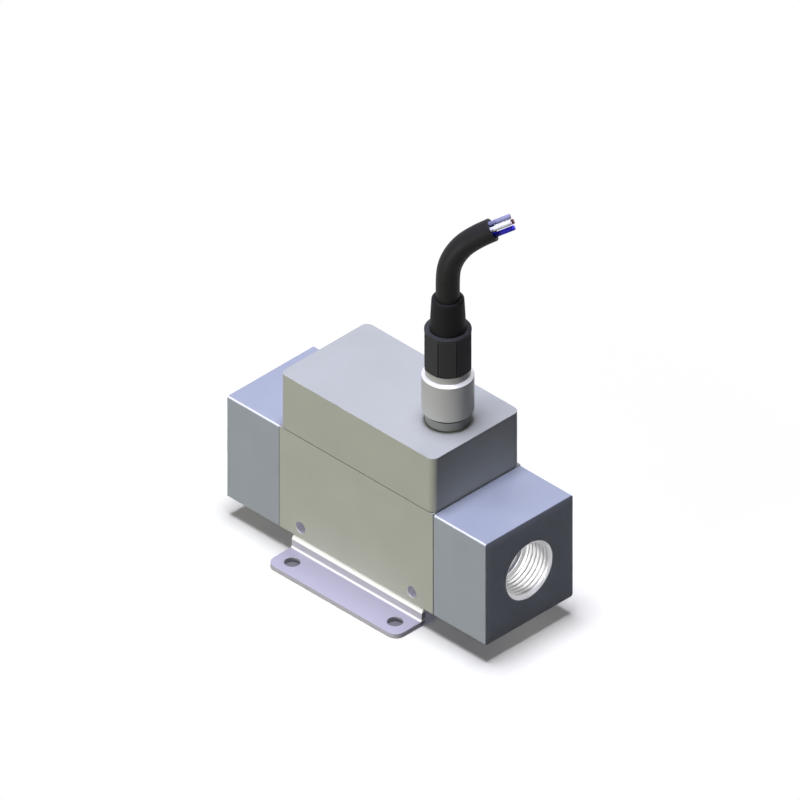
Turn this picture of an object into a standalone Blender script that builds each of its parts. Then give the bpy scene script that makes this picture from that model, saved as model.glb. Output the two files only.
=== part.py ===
"""Flow switch: a square flow body between two threaded port blocks, with an electronics cover, a round
connector with its cable plug, and a folded mounting bracket.

X runs along the flow, from the inlet at -X to the outlet at +X. Z is up, and Z = 0 is the underside of the
bracket's feet. X = 0 and Y = 0 lie at the middle of the flow body. All sizes are in metres.
"""

import math

import bmesh
import bpy
from mathutils import Matrix, Vector

# Clearances
SEAT = 0.0002  # between two faces that rest on each other
RUNNING = 0.0003  # round a piece that slides or pushes into its place
THREAD_GAP = 0.00015  # round a screw, because the threads are left plain
RING_GAP = 0.0001  # round a sealing ring, which is drawn uncompressed

# Flow body and port blocks
BAR_SIDE = 0.032
BODY_LENGTH = 0.056
BLOCK_LENGTH = 0.019
EDGE_CHAMFER = 0.0005
PASSAGE_R = 0.0055
SPIGOT_R = 0.0092
SPIGOT_LENGTH = 0.0098
SPIGOT_LEAD = 0.0005
BLOCK_BORE_R = 0.0064
PORT_THREAD_R = 0.007475
PORT_THREAD_DEPTH = 0.0098
PORT_MOUTH_R = 0.00835
RING_GROOVE_R = 0.0076
RING_GROOVE_WIDTH = 0.002
RING_GROOVE_INSET = 0.0008  # from the spigot's end
CLIP_GROOVE_R = 0.0076
CLIP_THICKNESS = 0.0016
CLIP_INSET = 0.0039  # from the block's inner face to the clip's middle
CLIP_LEG_WIDTH = 0.003
CLIP_REACH = 0.007  # of the legs, below the flow axis
CLIP_CORNER = 0.002
LOCATING_PIN_R = 0.001
LOCATING_PIN_LENGTH = 0.0044
LOCATING_PIN_Y = 0.0115
LOCATING_PIN_Z = 0.0115  # above the flow axis
CROSS_HOLE_R = 0.0017
CROSS_HOLE_INSET = 0.0077  # from the flow body's end
CROSS_HOLE_Z = 0.00375  # above the flow body's underside

# Flow sensing
SCREEN_THICKNESS = 0.0012
SCREEN_HOLE_R = 0.0011
SCREEN_PITCH = 0.0028
SHEDDER_X = -0.005
SHEDDER_FRONT = 0.0032
SHEDDER_BACK = 0.0014
SHEDDER_DEPTH = 0.0032
SHEDDER_FOOT = 0.0015  # how far its lower end stands in the passage's floor
PROBE_X = 0.003
PROBE_STEM_R = 0.0022
PROBE_REACH = 0.007  # of the blade, below the passage's top
PROBE_BLADE_THICKNESS = 0.001
PROBE_BLADE_WIDTH = 0.0032
PROBE_GROOVE_DEPTH = 0.0007
PROBE_GROOVE_WIDTH = 0.0014
PROBE_GROOVE_BELOW = 0.0035  # the groove's middle, below the flow body's top
PROBE_LEAD_R = 0.0011
SENSOR_FLANGE_R = 0.003
SENSOR_FLANGE_THICKNESS = 0.0015
CLAMP_X = -0.001
CLAMP_LENGTH = 0.0225
CLAMP_WIDTH = 0.0085
CLAMP_THICKNESS = 0.0016
CLAMP_SCREW_SPACING = 0.0174

# Top cover and its screws
COVER_HEIGHT = 0.017
COVER_CORNER_R = 0.002
COVER_WALL = 0.0022
COVER_ROOF = 0.0022
GASKET_WIDTH = 0.0009
GASKET_HEIGHT = 0.0007
BOSS_R = 0.0029
COVER_SCREW_X = 0.0125
COVER_SCREW_INSET = 0.0045  # from the cover's side
COVER_SCREW_LENGTH = 0.02
COVER_SCREW_SINK = 0.02  # how deep the heads sit in the flow body, from below
COVER_SCREW_SPARE = 0.0015  # of its pilot hole, past the screw's end

# Circuit board
POST_R = 0.002
POST_HEIGHT = 0.004
POST_INSET = 0.004  # from the board's edges
BOARD_END_GAP = 0.0018  # to the cover's end walls
BOARD_SIDE_GAP = 0.0008  # to the cover's side walls
BOARD_THICKNESS = 0.0016
BOARD_NOTCH_GAP = 0.0005
PROCESSOR = (0.007, 0.007, 0.001)
PROCESSOR_AT = (-0.003, 0.001)
TRANSISTOR = (0.0065, 0.0045, 0.0022)
TRANSISTOR_AT = (0.006, -0.0085)
CAPACITOR_R = 0.0025
CAPACITOR_HEIGHT = 0.0055
CAPACITOR_INSET = 0.0045  # from the board's end

# Screws: the shank's radius, the head's radius and its height
M3 = (0.0015, 0.00265, 0.002)
M2 = (0.001, 0.0019, 0.0013)
SMALL_SCREW_LENGTH = 0.005
BRACKET_SCREW_LENGTH = 0.0075
SOCKET_SHARE = 0.55  # of the head's radius and height
BRACKET_SCREW_X = 0.008
THREADED_INSERT_R = 0.0021
THREADED_INSERT_LENGTH = 0.0055

# Mounting bracket
BRACKET_LIFT = 0.0055  # the flow body's underside above the mounting surface
SHEET = 0.0014
BRACKET_LENGTH = 0.0475
BRACKET_INSET = 0.00015  # of its upright walls, inside the flow body's faces
FOOT_WIDTH = 0.00945
BEND_INSIDE_R = 0.0005
FOOT_CORNER_R = 0.0028
FOOT_HOLE_R = 0.00215
FOOT_HOLE_INSET = 0.00495  # from the foot's end
FOOT_HOLE_EDGE = 0.0047  # from the foot's long edge

# Receptacle, with its heights above the cover's top
CONNECTOR_INSET = 0.0105  # from the cover's end
NECK_R = 0.00595
NECK_HEIGHT = 0.0092
NECK_CHAMFER = 0.0004
SHELL_BORE_R = 0.0045
STEM_R = 0.0052
STEM_DEPTH = 0.0057
LEDGE_WIDTH = 0.0007
LEDGE_HEIGHT = 0.0015
RECEPTACLE_FACE = 0.0024
LOCK_NUT_FLATS = 0.014
LOCK_NUT_THICKNESS = 0.0025
SEAL_RECESS = 0.001
SEAL_R = 0.0067
SEAL_THICKNESS = 0.0007
PIN_R = 0.0005
PIN_TIP = 0.0076
PIN_CIRCLE_R = 0.00275
PIN_COUNT = 4

# Cable plug, with its heights above the cover's top
NUT_LOW = 0.00364
NUT_R = 0.0069
NUT_SHOULDER = 0.0141
NUT_CHAMFER_HEIGHT = 0.0009
NUT_COLLAR_R = 0.0059
NUT_TOP = 0.0168
NUT_MOUTH_CHAMFER = 0.0003
FACE_SEAL_THICKNESS = 0.0008
PLUG_FLANGE_R = 0.00575
PLUG_FLANGE_THICKNESS = 0.0012
PLUG_CORE_R = 0.0046
PLUG_CORE_TOP = 0.02
CONTACT_WALL = 0.00025
CONTACT_LENGTH = 0.0065
CONTACT_INSET = 0.0003
GRIP_R = 0.00605
GRIP_FACE_R = 0.00585  # at the middle of each crowned face
GRIP_FACES = 8
GRIP_RIM = 0.0007
GRIP_RIM_CHAMFER = 0.0002
GRIP_TOP = 0.029
BOOT_FOOT_R = 0.0046
BOOT_HEAD_R = 0.00427
BOOT_TOP = 0.0386
BOOT_FILLET = 0.00075

# Cable and its cores
CABLE_R = 0.00315
CORE_R = 0.0006
CORE_LENGTH = 0.0055
CORE_CIRCLE_R = 0.00156
CORE_TURN = math.radians(31.8)
CORE_DROOP = math.radians(3.1)
CORE_NAMES = ("core_white", "core_grey", "core_brown", "core_blue")
CABLE_HEADING = math.radians(45)  # the way the cable leans, seen from above
CABLE_START = 0.027  # inside the grip
# The cable's route: how far out from the plug's axis, and the height above the cover's top
CABLE_ROUTE = (
    (0.0, CABLE_START),
    (0.0, 0.036),
    (0.0, 0.0444),
    (0.0005, 0.0486),
    (0.002, 0.0522),
    (0.0045, 0.0554),
    (0.008, 0.058),
    (0.0116, 0.06),
)
ROUTE_STEPS = 3  # points of the tube for each stretch of the route

# Steps round a turned piece
FINE = 40
MEDIUM = 32
COARSE = 24
SMALL = 12
RING_SECTION = 6

# Levels and places that follow from the sizes
BODY_TOP = BRACKET_LIFT + BAR_SIDE
AXIS_Z = BRACKET_LIFT + BAR_SIDE / 2
COVER_TOP = BODY_TOP + COVER_HEIGHT
CONNECTOR_X = BODY_LENGTH / 2 - CONNECTOR_INSET
COVER_SCREW_Y = BAR_SIDE / 2 - COVER_SCREW_INSET
CROSS_HOLE_X = BODY_LENGTH / 2 - CROSS_HOLE_INSET
BRACKET_WALLS = BAR_SIDE - 2 * BRACKET_INSET  # over both upright walls
BRACKET_FEET = BRACKET_WALLS + 2 * FOOT_WIDTH  # over both feet
FOOT_HOLE_X = BRACKET_LENGTH / 2 - FOOT_HOLE_INSET
FOOT_HOLE_Y = BRACKET_FEET / 2 - FOOT_HOLE_EDGE
BOARD_LENGTH = BODY_LENGTH - 2 * (COVER_WALL + BOARD_END_GAP)
BOARD_WIDTH = BAR_SIDE - 2 * (COVER_WALL + BOARD_SIDE_GAP)
POST_X = BOARD_LENGTH / 2 - POST_INSET
POST_Y = BOARD_WIDTH / 2 - POST_INSET
BLOCK_FACE = BODY_LENGTH / 2 + SEAT  # the port block's inner face
SPIGOT_END = BLOCK_FACE - SPIGOT_LENGTH
SOCKET_R = SPIGOT_R + RUNNING
OUTLET_SHOULDER = SPIGOT_END - SEAT
INLET_SHOULDER = SPIGOT_END - SCREEN_THICKNESS - 2 * SEAT
CLIP_X = BLOCK_FACE - CLIP_INSET
CLIP_OUTER_Y = CLIP_GROOVE_R + RUNNING + CLIP_LEG_WIDTH
PASSAGE_TOP = AXIS_Z + PASSAGE_R
BOARD_LOW = BODY_TOP + POST_HEIGHT + SEAT
BOARD_TOP = BOARD_LOW + BOARD_THICKNESS
COVER_RIM = BODY_TOP + SEAT
ROOF_LOW = COVER_TOP - COVER_ROOF
CLAMP_TOP = BODY_TOP + SEAT + CLAMP_THICKNESS
PLATE_TOP = BRACKET_LIFT - SEAT
FLANGE_LOW = NECK_HEIGHT + FACE_SEAL_THICKNESS + 2 * SEAT
FLANGE_TOP = FLANGE_LOW + PLUG_FLANGE_THICKNESS
GRIP_LOW = NUT_TOP + SEAT
NOSE_LOW = RECEPTACLE_FACE + 2 * SEAT
OVERCUT = 0.001  # how far a cutter runs past the face it opens


# Materials


def material(name, colour, roughness, metallic=0.0):
    found = bpy.data.materials.get(name)
    if found:
        return found
    made = bpy.data.materials.new(name)
    made.use_nodes = True
    shader = made.node_tree.nodes["Principled BSDF"]
    shader.inputs["Base Color"].default_value = (*colour, 1)
    shader.inputs["Roughness"].default_value = roughness
    shader.inputs["Metallic"].default_value = metallic
    made.diffuse_color = (*colour, 1)
    return made


def finish(obj, kind):
    """Gives the object a material of its own, made from the named kind."""
    colour, roughness, metallic = KINDS[kind]
    obj.data.materials.append(material(f"{obj.name}_{kind}", colour, roughness, metallic))
    return obj


KINDS = {
    "body_resin": ((0.48, 0.48, 0.42), 0.5, 0.0),
    "cover_resin": ((0.5, 0.5, 0.47), 0.5, 0.0),
    "steel": ((0.48, 0.52, 0.6), 0.35, 1.0),
    "plated_brass": ((0.55, 0.55, 0.53), 0.3, 1.0),
    "sheet_steel": ((0.56, 0.56, 0.7), 0.3, 1.0),
    "spring_steel": ((0.4, 0.4, 0.4), 0.35, 1.0),
    "gold": ((0.75, 0.53, 0.2), 0.25, 1.0),
    "brass": ((0.6, 0.45, 0.2), 0.35, 1.0),
    "black_rubber": ((0.02, 0.02, 0.02), 0.7, 0.0),
    "black_plastic": ((0.04, 0.04, 0.04), 0.5, 0.0),
    "cable_black": ((0.016, 0.016, 0.016), 0.6, 0.0),
    "sensor_plastic": ((0.1, 0.1, 0.1), 0.45, 0.0),
    "board_green": ((0.02, 0.13, 0.05), 0.5, 0.0),
    "white": ((0.85, 0.85, 0.85), 0.45, 0.0),
    "grey": ((0.3, 0.3, 0.45), 0.45, 0.0),
    "brown": ((0.07, 0.012, 0.016), 0.45, 0.0),
    "blue": ((0.04, 0.03, 0.75), 0.4, 0.0),
}

# Solids


def linked(name, mesh_or_curve, at=(0, 0, 0)):
    obj = bpy.data.objects.new(name, mesh_or_curve)
    obj.location = at
    bpy.context.scene.collection.objects.link(obj)
    return obj


def solid(name, bm, at=(0, 0, 0), smooth=False):
    bmesh.ops.recalc_face_normals(bm, faces=bm.faces)
    mesh = bpy.data.meshes.new(name)
    bm.to_mesh(mesh)
    bm.free()
    if smooth:
        mesh.shade_smooth()
        mesh.set_sharp_from_angle(angle=math.radians(30))
    return linked(name, mesh, at)


# A flat outline (a, b) raised along an axis: for X it is (y, z), for Y (x, z) and for Z (x, y)
PLACING = {
    "X": lambda a, b, c: (c, a, b),
    "Y": lambda a, b, c: (a, c, b),
    "Z": lambda a, b, c: (a, b, c),
}


def prism(name, outline, low, high, axis="Z", at=(0, 0, 0), smooth=False):
    bm = bmesh.new()
    place = PLACING[axis]
    face = bm.faces.new([bm.verts.new(place(a, b, low)) for a, b in outline])
    raised = bmesh.ops.extrude_face_region(bm, geom=[face])["geom"]
    top = [v for v in raised if isinstance(v, bmesh.types.BMVert)]
    bmesh.ops.translate(bm, verts=top, vec=Vector(place(0, 0, high - low)))
    return solid(name, bm, at, smooth)


TURNED_ALONG = {
    "X": Matrix.Rotation(math.pi / 2, 4, "Y"),
    "Y": Matrix.Rotation(-math.pi / 2, 4, "X"),
    "Z": Matrix.Identity(4),
}


def turned(name, outline, steps, at=(0, 0, 0), axis="Z"):
    """A closed outline of (radius, place along the axis), spun round the axis."""
    bm = bmesh.new()
    ring = [bm.verts.new((r, 0, z)) for r, z in outline]
    pairs = zip(ring, ring[1:] + ring[:1])
    edges = [bm.edges.new(pair) for pair in pairs if max(v.co.x for v in pair) > 0]
    bmesh.ops.spin(
        bm, geom=ring + edges, cent=(0, 0, 0), axis=(0, 0, 1), angle=2 * math.pi, steps=steps
    )
    bmesh.ops.remove_doubles(bm, verts=bm.verts, dist=1e-7)
    bm.transform(TURNED_ALONG[axis])
    return solid(name, bm, at, smooth=True)


def rod(name, radius, low, high, steps, at=(0, 0, 0), axis="Z"):
    return turned(name, [(0, low), (radius, low), (radius, high), (0, high)], steps, at, axis)


def sleeve(name, inner, outer, low, high, steps, at=(0, 0, 0), axis="Z"):
    outline = [(inner, low), (outer, low), (outer, high), (inner, high)]
    return turned(name, outline, steps, at, axis)


def box(name, low, high):
    outline = [(low[0], low[1]), (high[0], low[1]), (high[0], high[1]), (low[0], high[1])]
    return prism(name, outline, low[2], high[2])


def sealing_ring(name, inner, outer, middle, at=(0, 0, 0), axis="Z"):
    """A round cord ring that fills the space between two radii, at a place along its axis."""
    centre, section = (inner + outer) / 2, (outer - inner) / 2 - RING_GAP
    outline = [(centre + a, middle + b) for a, b in regular(RING_SECTION, section)]
    return turned(name, outline, COARSE, at, axis)


def tube(name, points, radius, resolution):
    """A round bar along a line of points."""
    curve = bpy.data.curves.new(name, "CURVE")
    curve.dimensions = "3D"
    curve.bevel_depth = radius
    curve.bevel_resolution = resolution
    curve.use_fill_caps = True
    spline = curve.splines.new("POLY")
    spline.points.add(len(points) - 1)
    for point, place in zip(spline.points, points):
        point.co = (*place, 1)
    return linked(name, curve)


def combine(target, tool, operation="DIFFERENCE"):
    modifier = target.modifiers.new(tool.name, "BOOLEAN")
    modifier.operation = operation
    modifier.solver = "EXACT"
    modifier.object = tool
    tool.hide_render = True
    tool.display_type = "WIRE"
    return target


def hang(pieces, axis):
    """Places pieces on an axis's empty, with the tools that shape them."""
    for piece in pieces:
        piece.parent = axis
        for modifier in piece.modifiers:
            modifier.object.parent = axis


# Outlines


def arc(centre, radius, start, end, steps):
    """Points along an arc, its angles in degrees."""
    turns = [math.radians(start + (end - start) * i / steps) for i in range(steps + 1)]
    return [(centre[0] + radius * math.cos(t), centre[1] + radius * math.sin(t)) for t in turns]


def rounded_rectangle(length, width, radius, steps=5):
    x, y = length / 2 - radius, width / 2 - radius
    corners = (((x, y), 0), ((-x, y), 90), ((-x, -y), 180), ((x, -y), 270))
    return [p for centre, start in corners for p in arc(centre, radius, start, start + 90, steps)]


def bar_section(upper_chamfer):
    """The square bar's section, in (y, z), with its lower edges chamfered and its upper ones if asked."""
    half, cut = BAR_SIDE / 2, EDGE_CHAMFER
    low, high = BRACKET_LIFT, BODY_TOP
    right = [(half - cut, low), (half, low + cut)]
    right += [(half, high - cut), (half - cut, high)] if upper_chamfer else [(half, high)]
    return right + [(-y, z) for y, z in reversed(right)]


def regular(sides, radius, turn=0.0):
    turns = [turn + 2 * math.pi * i / sides for i in range(sides)]
    return [(radius * math.cos(t), radius * math.sin(t)) for t in turns]


# Fasteners


def screw(name, size, length, at, pointing=1):
    """A screw with a socket head, placed by the seat under its head. The shank points up or down."""
    shank, head, height = size
    socket_r, socket_depth = head * SOCKET_SHARE, height * SOCKET_SHARE
    outline = [
        (0, length),
        (shank, length - shank),
        (shank, 0),
        (head, 0),
        (head, -height * 0.7),
        (head * 0.85, -height),
        (socket_r, -height),
        (socket_r, socket_depth - height),
        (0, socket_depth - height),
    ]
    return finish(turned(name, [(r, pointing * z) for r, z in outline], SMALL, at), "spring_steel")


def screw_hole(name, size, low, high, at):
    return rod(name, size[0] + THREAD_GAP, low, high, SMALL, at)


# Mounting bracket


def bracket_section():
    """The folded hat section, in (y, z)."""
    outer_bend = BEND_INSIDE_R + SHEET
    wall = BRACKET_WALLS / 2
    foot = BRACKET_FEET / 2
    upper = (wall - outer_bend, PLATE_TOP - outer_bend)
    lower = (wall + BEND_INSIDE_R, outer_bend)
    outside = [(foot, 0), (foot, SHEET)]
    outside += arc(lower, BEND_INSIDE_R, -90, -180, 3) + arc(upper, outer_bend, 0, 90, 5)
    inside = arc(upper, BEND_INSIDE_R, 90, 0, 3) + arc(lower, outer_bend, 180, 270, 5)
    left_outside = [(-y, z) for y, z in reversed(outside)]
    left_inside = [(-y, z) for y, z in reversed(inside)]
    return outside + left_outside + left_inside + inside


def mounting_bracket():
    half = BRACKET_LENGTH / 2
    bracket = prism("mounting_bracket", bracket_section(), -half, half, "X")
    blank = rounded_rectangle(BRACKET_LENGTH, BRACKET_FEET, FOOT_CORNER_R)
    combine(bracket, prism("bracket_blank", blank, -OVERCUT, BRACKET_LIFT + OVERCUT), "INTERSECT")
    for x in (-FOOT_HOLE_X, FOOT_HOLE_X):
        for y in (-FOOT_HOLE_Y, FOOT_HOLE_Y):
            hole = rod("foot_hole", FOOT_HOLE_R, -OVERCUT, SHEET + OVERCUT, COARSE, (x, y, 0))
            combine(bracket, hole)
    for x in (-BRACKET_SCREW_X, BRACKET_SCREW_X):
        hole = rod("bracket_screw_hole", M3[0] + RUNNING, 0, BRACKET_LIFT + OVERCUT, SMALL, (x, 0, 0))
        combine(bracket, hole)
    finish(bracket, "sheet_steel")


def bracket_fasteners():
    seat = PLATE_TOP - SHEET - SEAT
    for number, x in enumerate((-BRACKET_SCREW_X, BRACKET_SCREW_X), 1):
        screw(f"bracket_screw_{number}", M3, BRACKET_SCREW_LENGTH, (x, 0, seat))
        inner = M3[0] + THREAD_GAP
        low, high = BRACKET_LIFT, BRACKET_LIFT + THREADED_INSERT_LENGTH
        name = f"threaded_insert_{number}"
        finish(sleeve(name, inner, THREADED_INSERT_R, low, high, SMALL, (x, 0, 0)), "brass")


# Port blocks


def port_block(name, side):
    """One metal end block with its port thread's bore, and the spigot that enters the flow body."""
    near, far = BLOCK_FACE, BLOCK_FACE + BLOCK_LENGTH
    block = prism(name, bar_section(upper_chamfer=True), side * near, side * far, "X")
    groove = SPIGOT_END + RING_GROOVE_INSET
    clip = CLIP_X - CLIP_THICKNESS / 2 - RUNNING, CLIP_X + CLIP_THICKNESS / 2 + RUNNING
    spigot = [
        (BLOCK_BORE_R - OVERCUT, near + OVERCUT),
        (SPIGOT_R, near + OVERCUT),
        (SPIGOT_R, clip[1]),
        (CLIP_GROOVE_R, clip[1]),
        (CLIP_GROOVE_R, clip[0]),
        (SPIGOT_R, clip[0]),
        (SPIGOT_R, groove + RING_GROOVE_WIDTH),
        (RING_GROOVE_R, groove + RING_GROOVE_WIDTH),
        (RING_GROOVE_R, groove),
        (SPIGOT_R, groove),
        (SPIGOT_R, SPIGOT_END + SPIGOT_LEAD),
        (SPIGOT_R - SPIGOT_LEAD, SPIGOT_END),
        (BLOCK_BORE_R - OVERCUT, SPIGOT_END),
    ]
    bore = [
        (0, SPIGOT_END - OVERCUT),
        (BLOCK_BORE_R, SPIGOT_END - OVERCUT),
        (BLOCK_BORE_R, far - PORT_THREAD_DEPTH),
        (PORT_THREAD_R, far - PORT_THREAD_DEPTH),
        (PORT_THREAD_R, far - (PORT_MOUTH_R - PORT_THREAD_R)),
        (PORT_MOUTH_R, far),
        (PORT_MOUTH_R, far + OVERCUT),
        (0, far + OVERCUT),
    ]
    at = (0, 0, AXIS_Z)
    combine(block, turned("spigot", [(r, side * x) for r, x in spigot], MEDIUM, at, "X"), "UNION")
    combine(block, turned("port_bore", [(r, side * x) for r, x in bore], FINE, at, "X"))
    combine(block, locating_hole(side))
    finish(block, "steel")


def locating_pin_place(side):
    middle = side * (BODY_LENGTH + BLOCK_FACE * 2) / 4
    return (middle, LOCATING_PIN_Y, AXIS_Z + LOCATING_PIN_Z)


def locating_hole(side):
    half = LOCATING_PIN_LENGTH / 2 + SEAT
    radius = LOCATING_PIN_R + THREAD_GAP
    return rod("locating_hole", radius, -half, half, SMALL, locating_pin_place(side), "X")


def port_fittings(name, side):
    """The sealing ring on the spigot, the fork clip in its groove and the pin that stops it turning."""
    middle = side * (SPIGOT_END + RING_GROOVE_INSET + RING_GROOVE_WIDTH / 2)
    at = (0, 0, AXIS_Z)
    ring = sealing_ring(f"{name}_o_ring", RING_GROOVE_R, SOCKET_R, middle, at, "X")
    finish(ring, "black_rubber")
    half, place = LOCATING_PIN_LENGTH / 2, locating_pin_place(side)
    pin = rod(f"{name}_locating_pin", LOCATING_PIN_R, -half, half, SMALL, place, "X")
    finish(pin, "spring_steel")
    inner, outer = CLIP_GROOVE_R + RUNNING, CLIP_OUTER_Y
    low, top = AXIS_Z - CLIP_REACH, BODY_TOP - RUNNING
    fork = [(outer, low), (outer, top - CLIP_CORNER), (outer - CLIP_CORNER, top)]
    fork += [(-y, z) for y, z in reversed(fork)]
    fork += [(-inner, low)] + arc((0, AXIS_Z), inner, 180, 0, 16) + [(inner, low)]
    ends = (side * (CLIP_X - CLIP_THICKNESS / 2), side * (CLIP_X + CLIP_THICKNESS / 2))
    finish(prism(f"{name}_clip", fork, *ends, "X"), "spring_steel")


# Flow body


def gasket_outline(inset):
    radius = max(COVER_CORNER_R - inset, 0.0002)
    return rounded_rectangle(BODY_LENGTH - 2 * inset, BAR_SIDE - 2 * inset, radius, 3)


def frame_ring(name, outer_inset, inner_inset, low, high):
    """A rectangular ring that follows the cover's rim."""
    ring = prism(name, gasket_outline(outer_inset), low, high)
    hole = prism(f"{name}_middle", gasket_outline(inner_inset), low - OVERCUT, high + OVERCUT)
    return combine(ring, hole)


def shedder_section(gap):
    """The vortex shedder's blunt wedge, in (x, y), its broad face upstream."""
    front, back = SHEDDER_X - SHEDDER_DEPTH / 2 - gap, SHEDDER_X + SHEDDER_DEPTH / 2 + gap
    broad, narrow = SHEDDER_FRONT / 2 + gap, SHEDDER_BACK / 2 + gap
    return [(front, -broad), (back, -narrow), (back, narrow), (front, broad)]


def cut_flow_passage(body):
    end = BODY_LENGTH / 2 + OVERCUT
    passage = [
        (0, -end),
        (SOCKET_R, -end),
        (SOCKET_R, -INLET_SHOULDER),
        (PASSAGE_R, -INLET_SHOULDER),
        (PASSAGE_R, OUTLET_SHOULDER),
        (SOCKET_R, OUTLET_SHOULDER),
        (SOCKET_R, end),
        (0, end),
    ]
    combine(body, turned("passage", passage, MEDIUM, (0, 0, AXIS_Z), "X"))
    for side in (-1, 1):
        combine(body, locating_hole(side))
        half = CLIP_THICKNESS / 2 + RUNNING
        width, low = CLIP_OUTER_Y + RUNNING, AXIS_Z - CLIP_REACH - RUNNING
        corners = (side * CLIP_X - half, -width, low), (side * CLIP_X + half, width, BODY_TOP + OVERCUT)
        combine(body, box("clip_slot", *corners))


def cut_sensor_seats(body):
    floor = AXIS_Z - PASSAGE_R - SHEDDER_FOOT - SEAT
    slot = prism("shedder_slot", shedder_section(RUNNING), floor, BODY_TOP + OVERCUT)
    combine(body, slot)
    stem, flange = PROBE_STEM_R + RUNNING, SENSOR_FLANGE_R + RUNNING
    sink, above = BODY_TOP - SENSOR_FLANGE_THICKNESS - SEAT, BODY_TOP + OVERCUT
    combine(body, rod("shedder_seat", flange, sink, above, COARSE, (SHEDDER_X, 0, 0)))
    probe_seat = [(0, AXIS_Z), (stem, AXIS_Z), (stem, sink), (flange, sink), (flange, above), (0, above)]
    combine(body, turned("probe_seat", probe_seat, COARSE, (PROBE_X, 0, 0)))
    for x in clamp_screw_places():
        low = CLAMP_TOP + SEAT - SMALL_SCREW_LENGTH - SEAT
        combine(body, screw_hole("clamp_pilot", M2, low, BODY_TOP + OVERCUT, (x, 0, 0)))


def cut_fixing_holes(body):
    depth = BAR_SIDE / 2 + OVERCUT
    for x in (-CROSS_HOLE_X, CROSS_HOLE_X):
        place = (x, 0, BRACKET_LIFT + CROSS_HOLE_Z)
        combine(body, rod("cross_hole", CROSS_HOLE_R, -depth, depth, COARSE, place, "Y"))
    for x in (-BRACKET_SCREW_X, BRACKET_SCREW_X):
        radius = THREADED_INSERT_R + THREAD_GAP
        low = BRACKET_LIFT - OVERCUT
        high = BRACKET_LIFT + max(THREADED_INSERT_LENGTH, BRACKET_SCREW_LENGTH - SHEET) + SEAT
        combine(body, rod("insert_hole", radius, low, high, SMALL, (x, 0, 0)))
    sink = BRACKET_LIFT + COVER_SCREW_SINK
    for x, y in cover_screw_places():
        through = [
            (0, BRACKET_LIFT - OVERCUT),
            (M3[1] + RUNNING, BRACKET_LIFT - OVERCUT),
            (M3[1] + RUNNING, sink),
            (M3[0] + THREAD_GAP, sink),
            (M3[0] + THREAD_GAP, BODY_TOP + OVERCUT),
            (0, BODY_TOP + OVERCUT),
        ]
        combine(body, turned("cover_screw_hole", through, SMALL, (x, y, 0)))


def cover_screw_places():
    return [(x, y) for x in (-COVER_SCREW_X, COVER_SCREW_X) for y in (-COVER_SCREW_Y, COVER_SCREW_Y)]


def post_places():
    return [(x, y) for x in (-POST_X, POST_X) for y in (-POST_Y, POST_Y)]


def board_screw_places():
    """Two posts at opposite corners take the board's screws."""
    return [(-POST_X, -POST_Y), (POST_X, POST_Y)]


def clamp_screw_places():
    return [CLAMP_X - CLAMP_SCREW_SPACING / 2, CLAMP_X + CLAMP_SCREW_SPACING / 2]


def gasket_insets():
    """How far the gasket's two sides lie inside the cover's outer face."""
    middle = COVER_WALL / 2
    return middle - GASKET_WIDTH / 2, middle + GASKET_WIDTH / 2


def flow_body():
    half = BODY_LENGTH / 2
    body = prism("flow_body", bar_section(upper_chamfer=False), -half, half, "X")
    for x, y in post_places():
        post = rod("board_post", POST_R, BODY_TOP - OVERCUT, BODY_TOP + POST_HEIGHT, SMALL, (x, y, 0))
        combine(body, post, "UNION")
    cut_flow_passage(body)
    cut_sensor_seats(body)
    cut_fixing_holes(body)
    outer, inner = gasket_insets()
    floor = BODY_TOP - GASKET_HEIGHT - SEAT
    groove = frame_ring("gasket_groove", outer - RING_GAP, inner + RING_GAP, floor, BODY_TOP + OVERCUT)
    combine(body, groove)
    for x, y in board_screw_places():
        low = BOARD_TOP + SEAT - SMALL_SCREW_LENGTH - SEAT
        combine(body, screw_hole("board_pilot", M2, low, BOARD_TOP, (x, y, 0)))
    finish(body, "body_resin")


# Flow sensing


def inlet_screen():
    """A perforated disc that the inlet spigot holds against its shoulder, to straighten the flow."""
    high = -INLET_SHOULDER - SEAT
    low = high - SCREEN_THICKNESS
    at = (0, 0, AXIS_Z)
    screen = rod("inlet_screen", SOCKET_R - RUNNING, low, high, MEDIUM, at, "X")
    rows = range(-2, 3)
    for row in rows:
        for column in rows:
            y = (column + row / 2) * SCREEN_PITCH
            z = row * SCREEN_PITCH * math.sqrt(3) / 2
            if math.hypot(y, z) < PASSAGE_R:
                place = (0, y, AXIS_Z + z)
                hole = rod("screen_hole", SCREEN_HOLE_R, low - OVERCUT, high + OVERCUT, SMALL, place, "X")
                combine(screen, hole)
    finish(screen, "steel")


def vortex_shedder():
    low = AXIS_Z - PASSAGE_R - SHEDDER_FOOT
    top = BODY_TOP
    shedder = prism("vortex_shedder", shedder_section(0), low, top)
    place = (SHEDDER_X, 0, 0)
    flange = rod("shedder_flange", SENSOR_FLANGE_R, top - SENSOR_FLANGE_THICKNESS, top, COARSE, place)
    combine(shedder, flange, "UNION")
    finish(shedder, "sensor_plastic")


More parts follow.
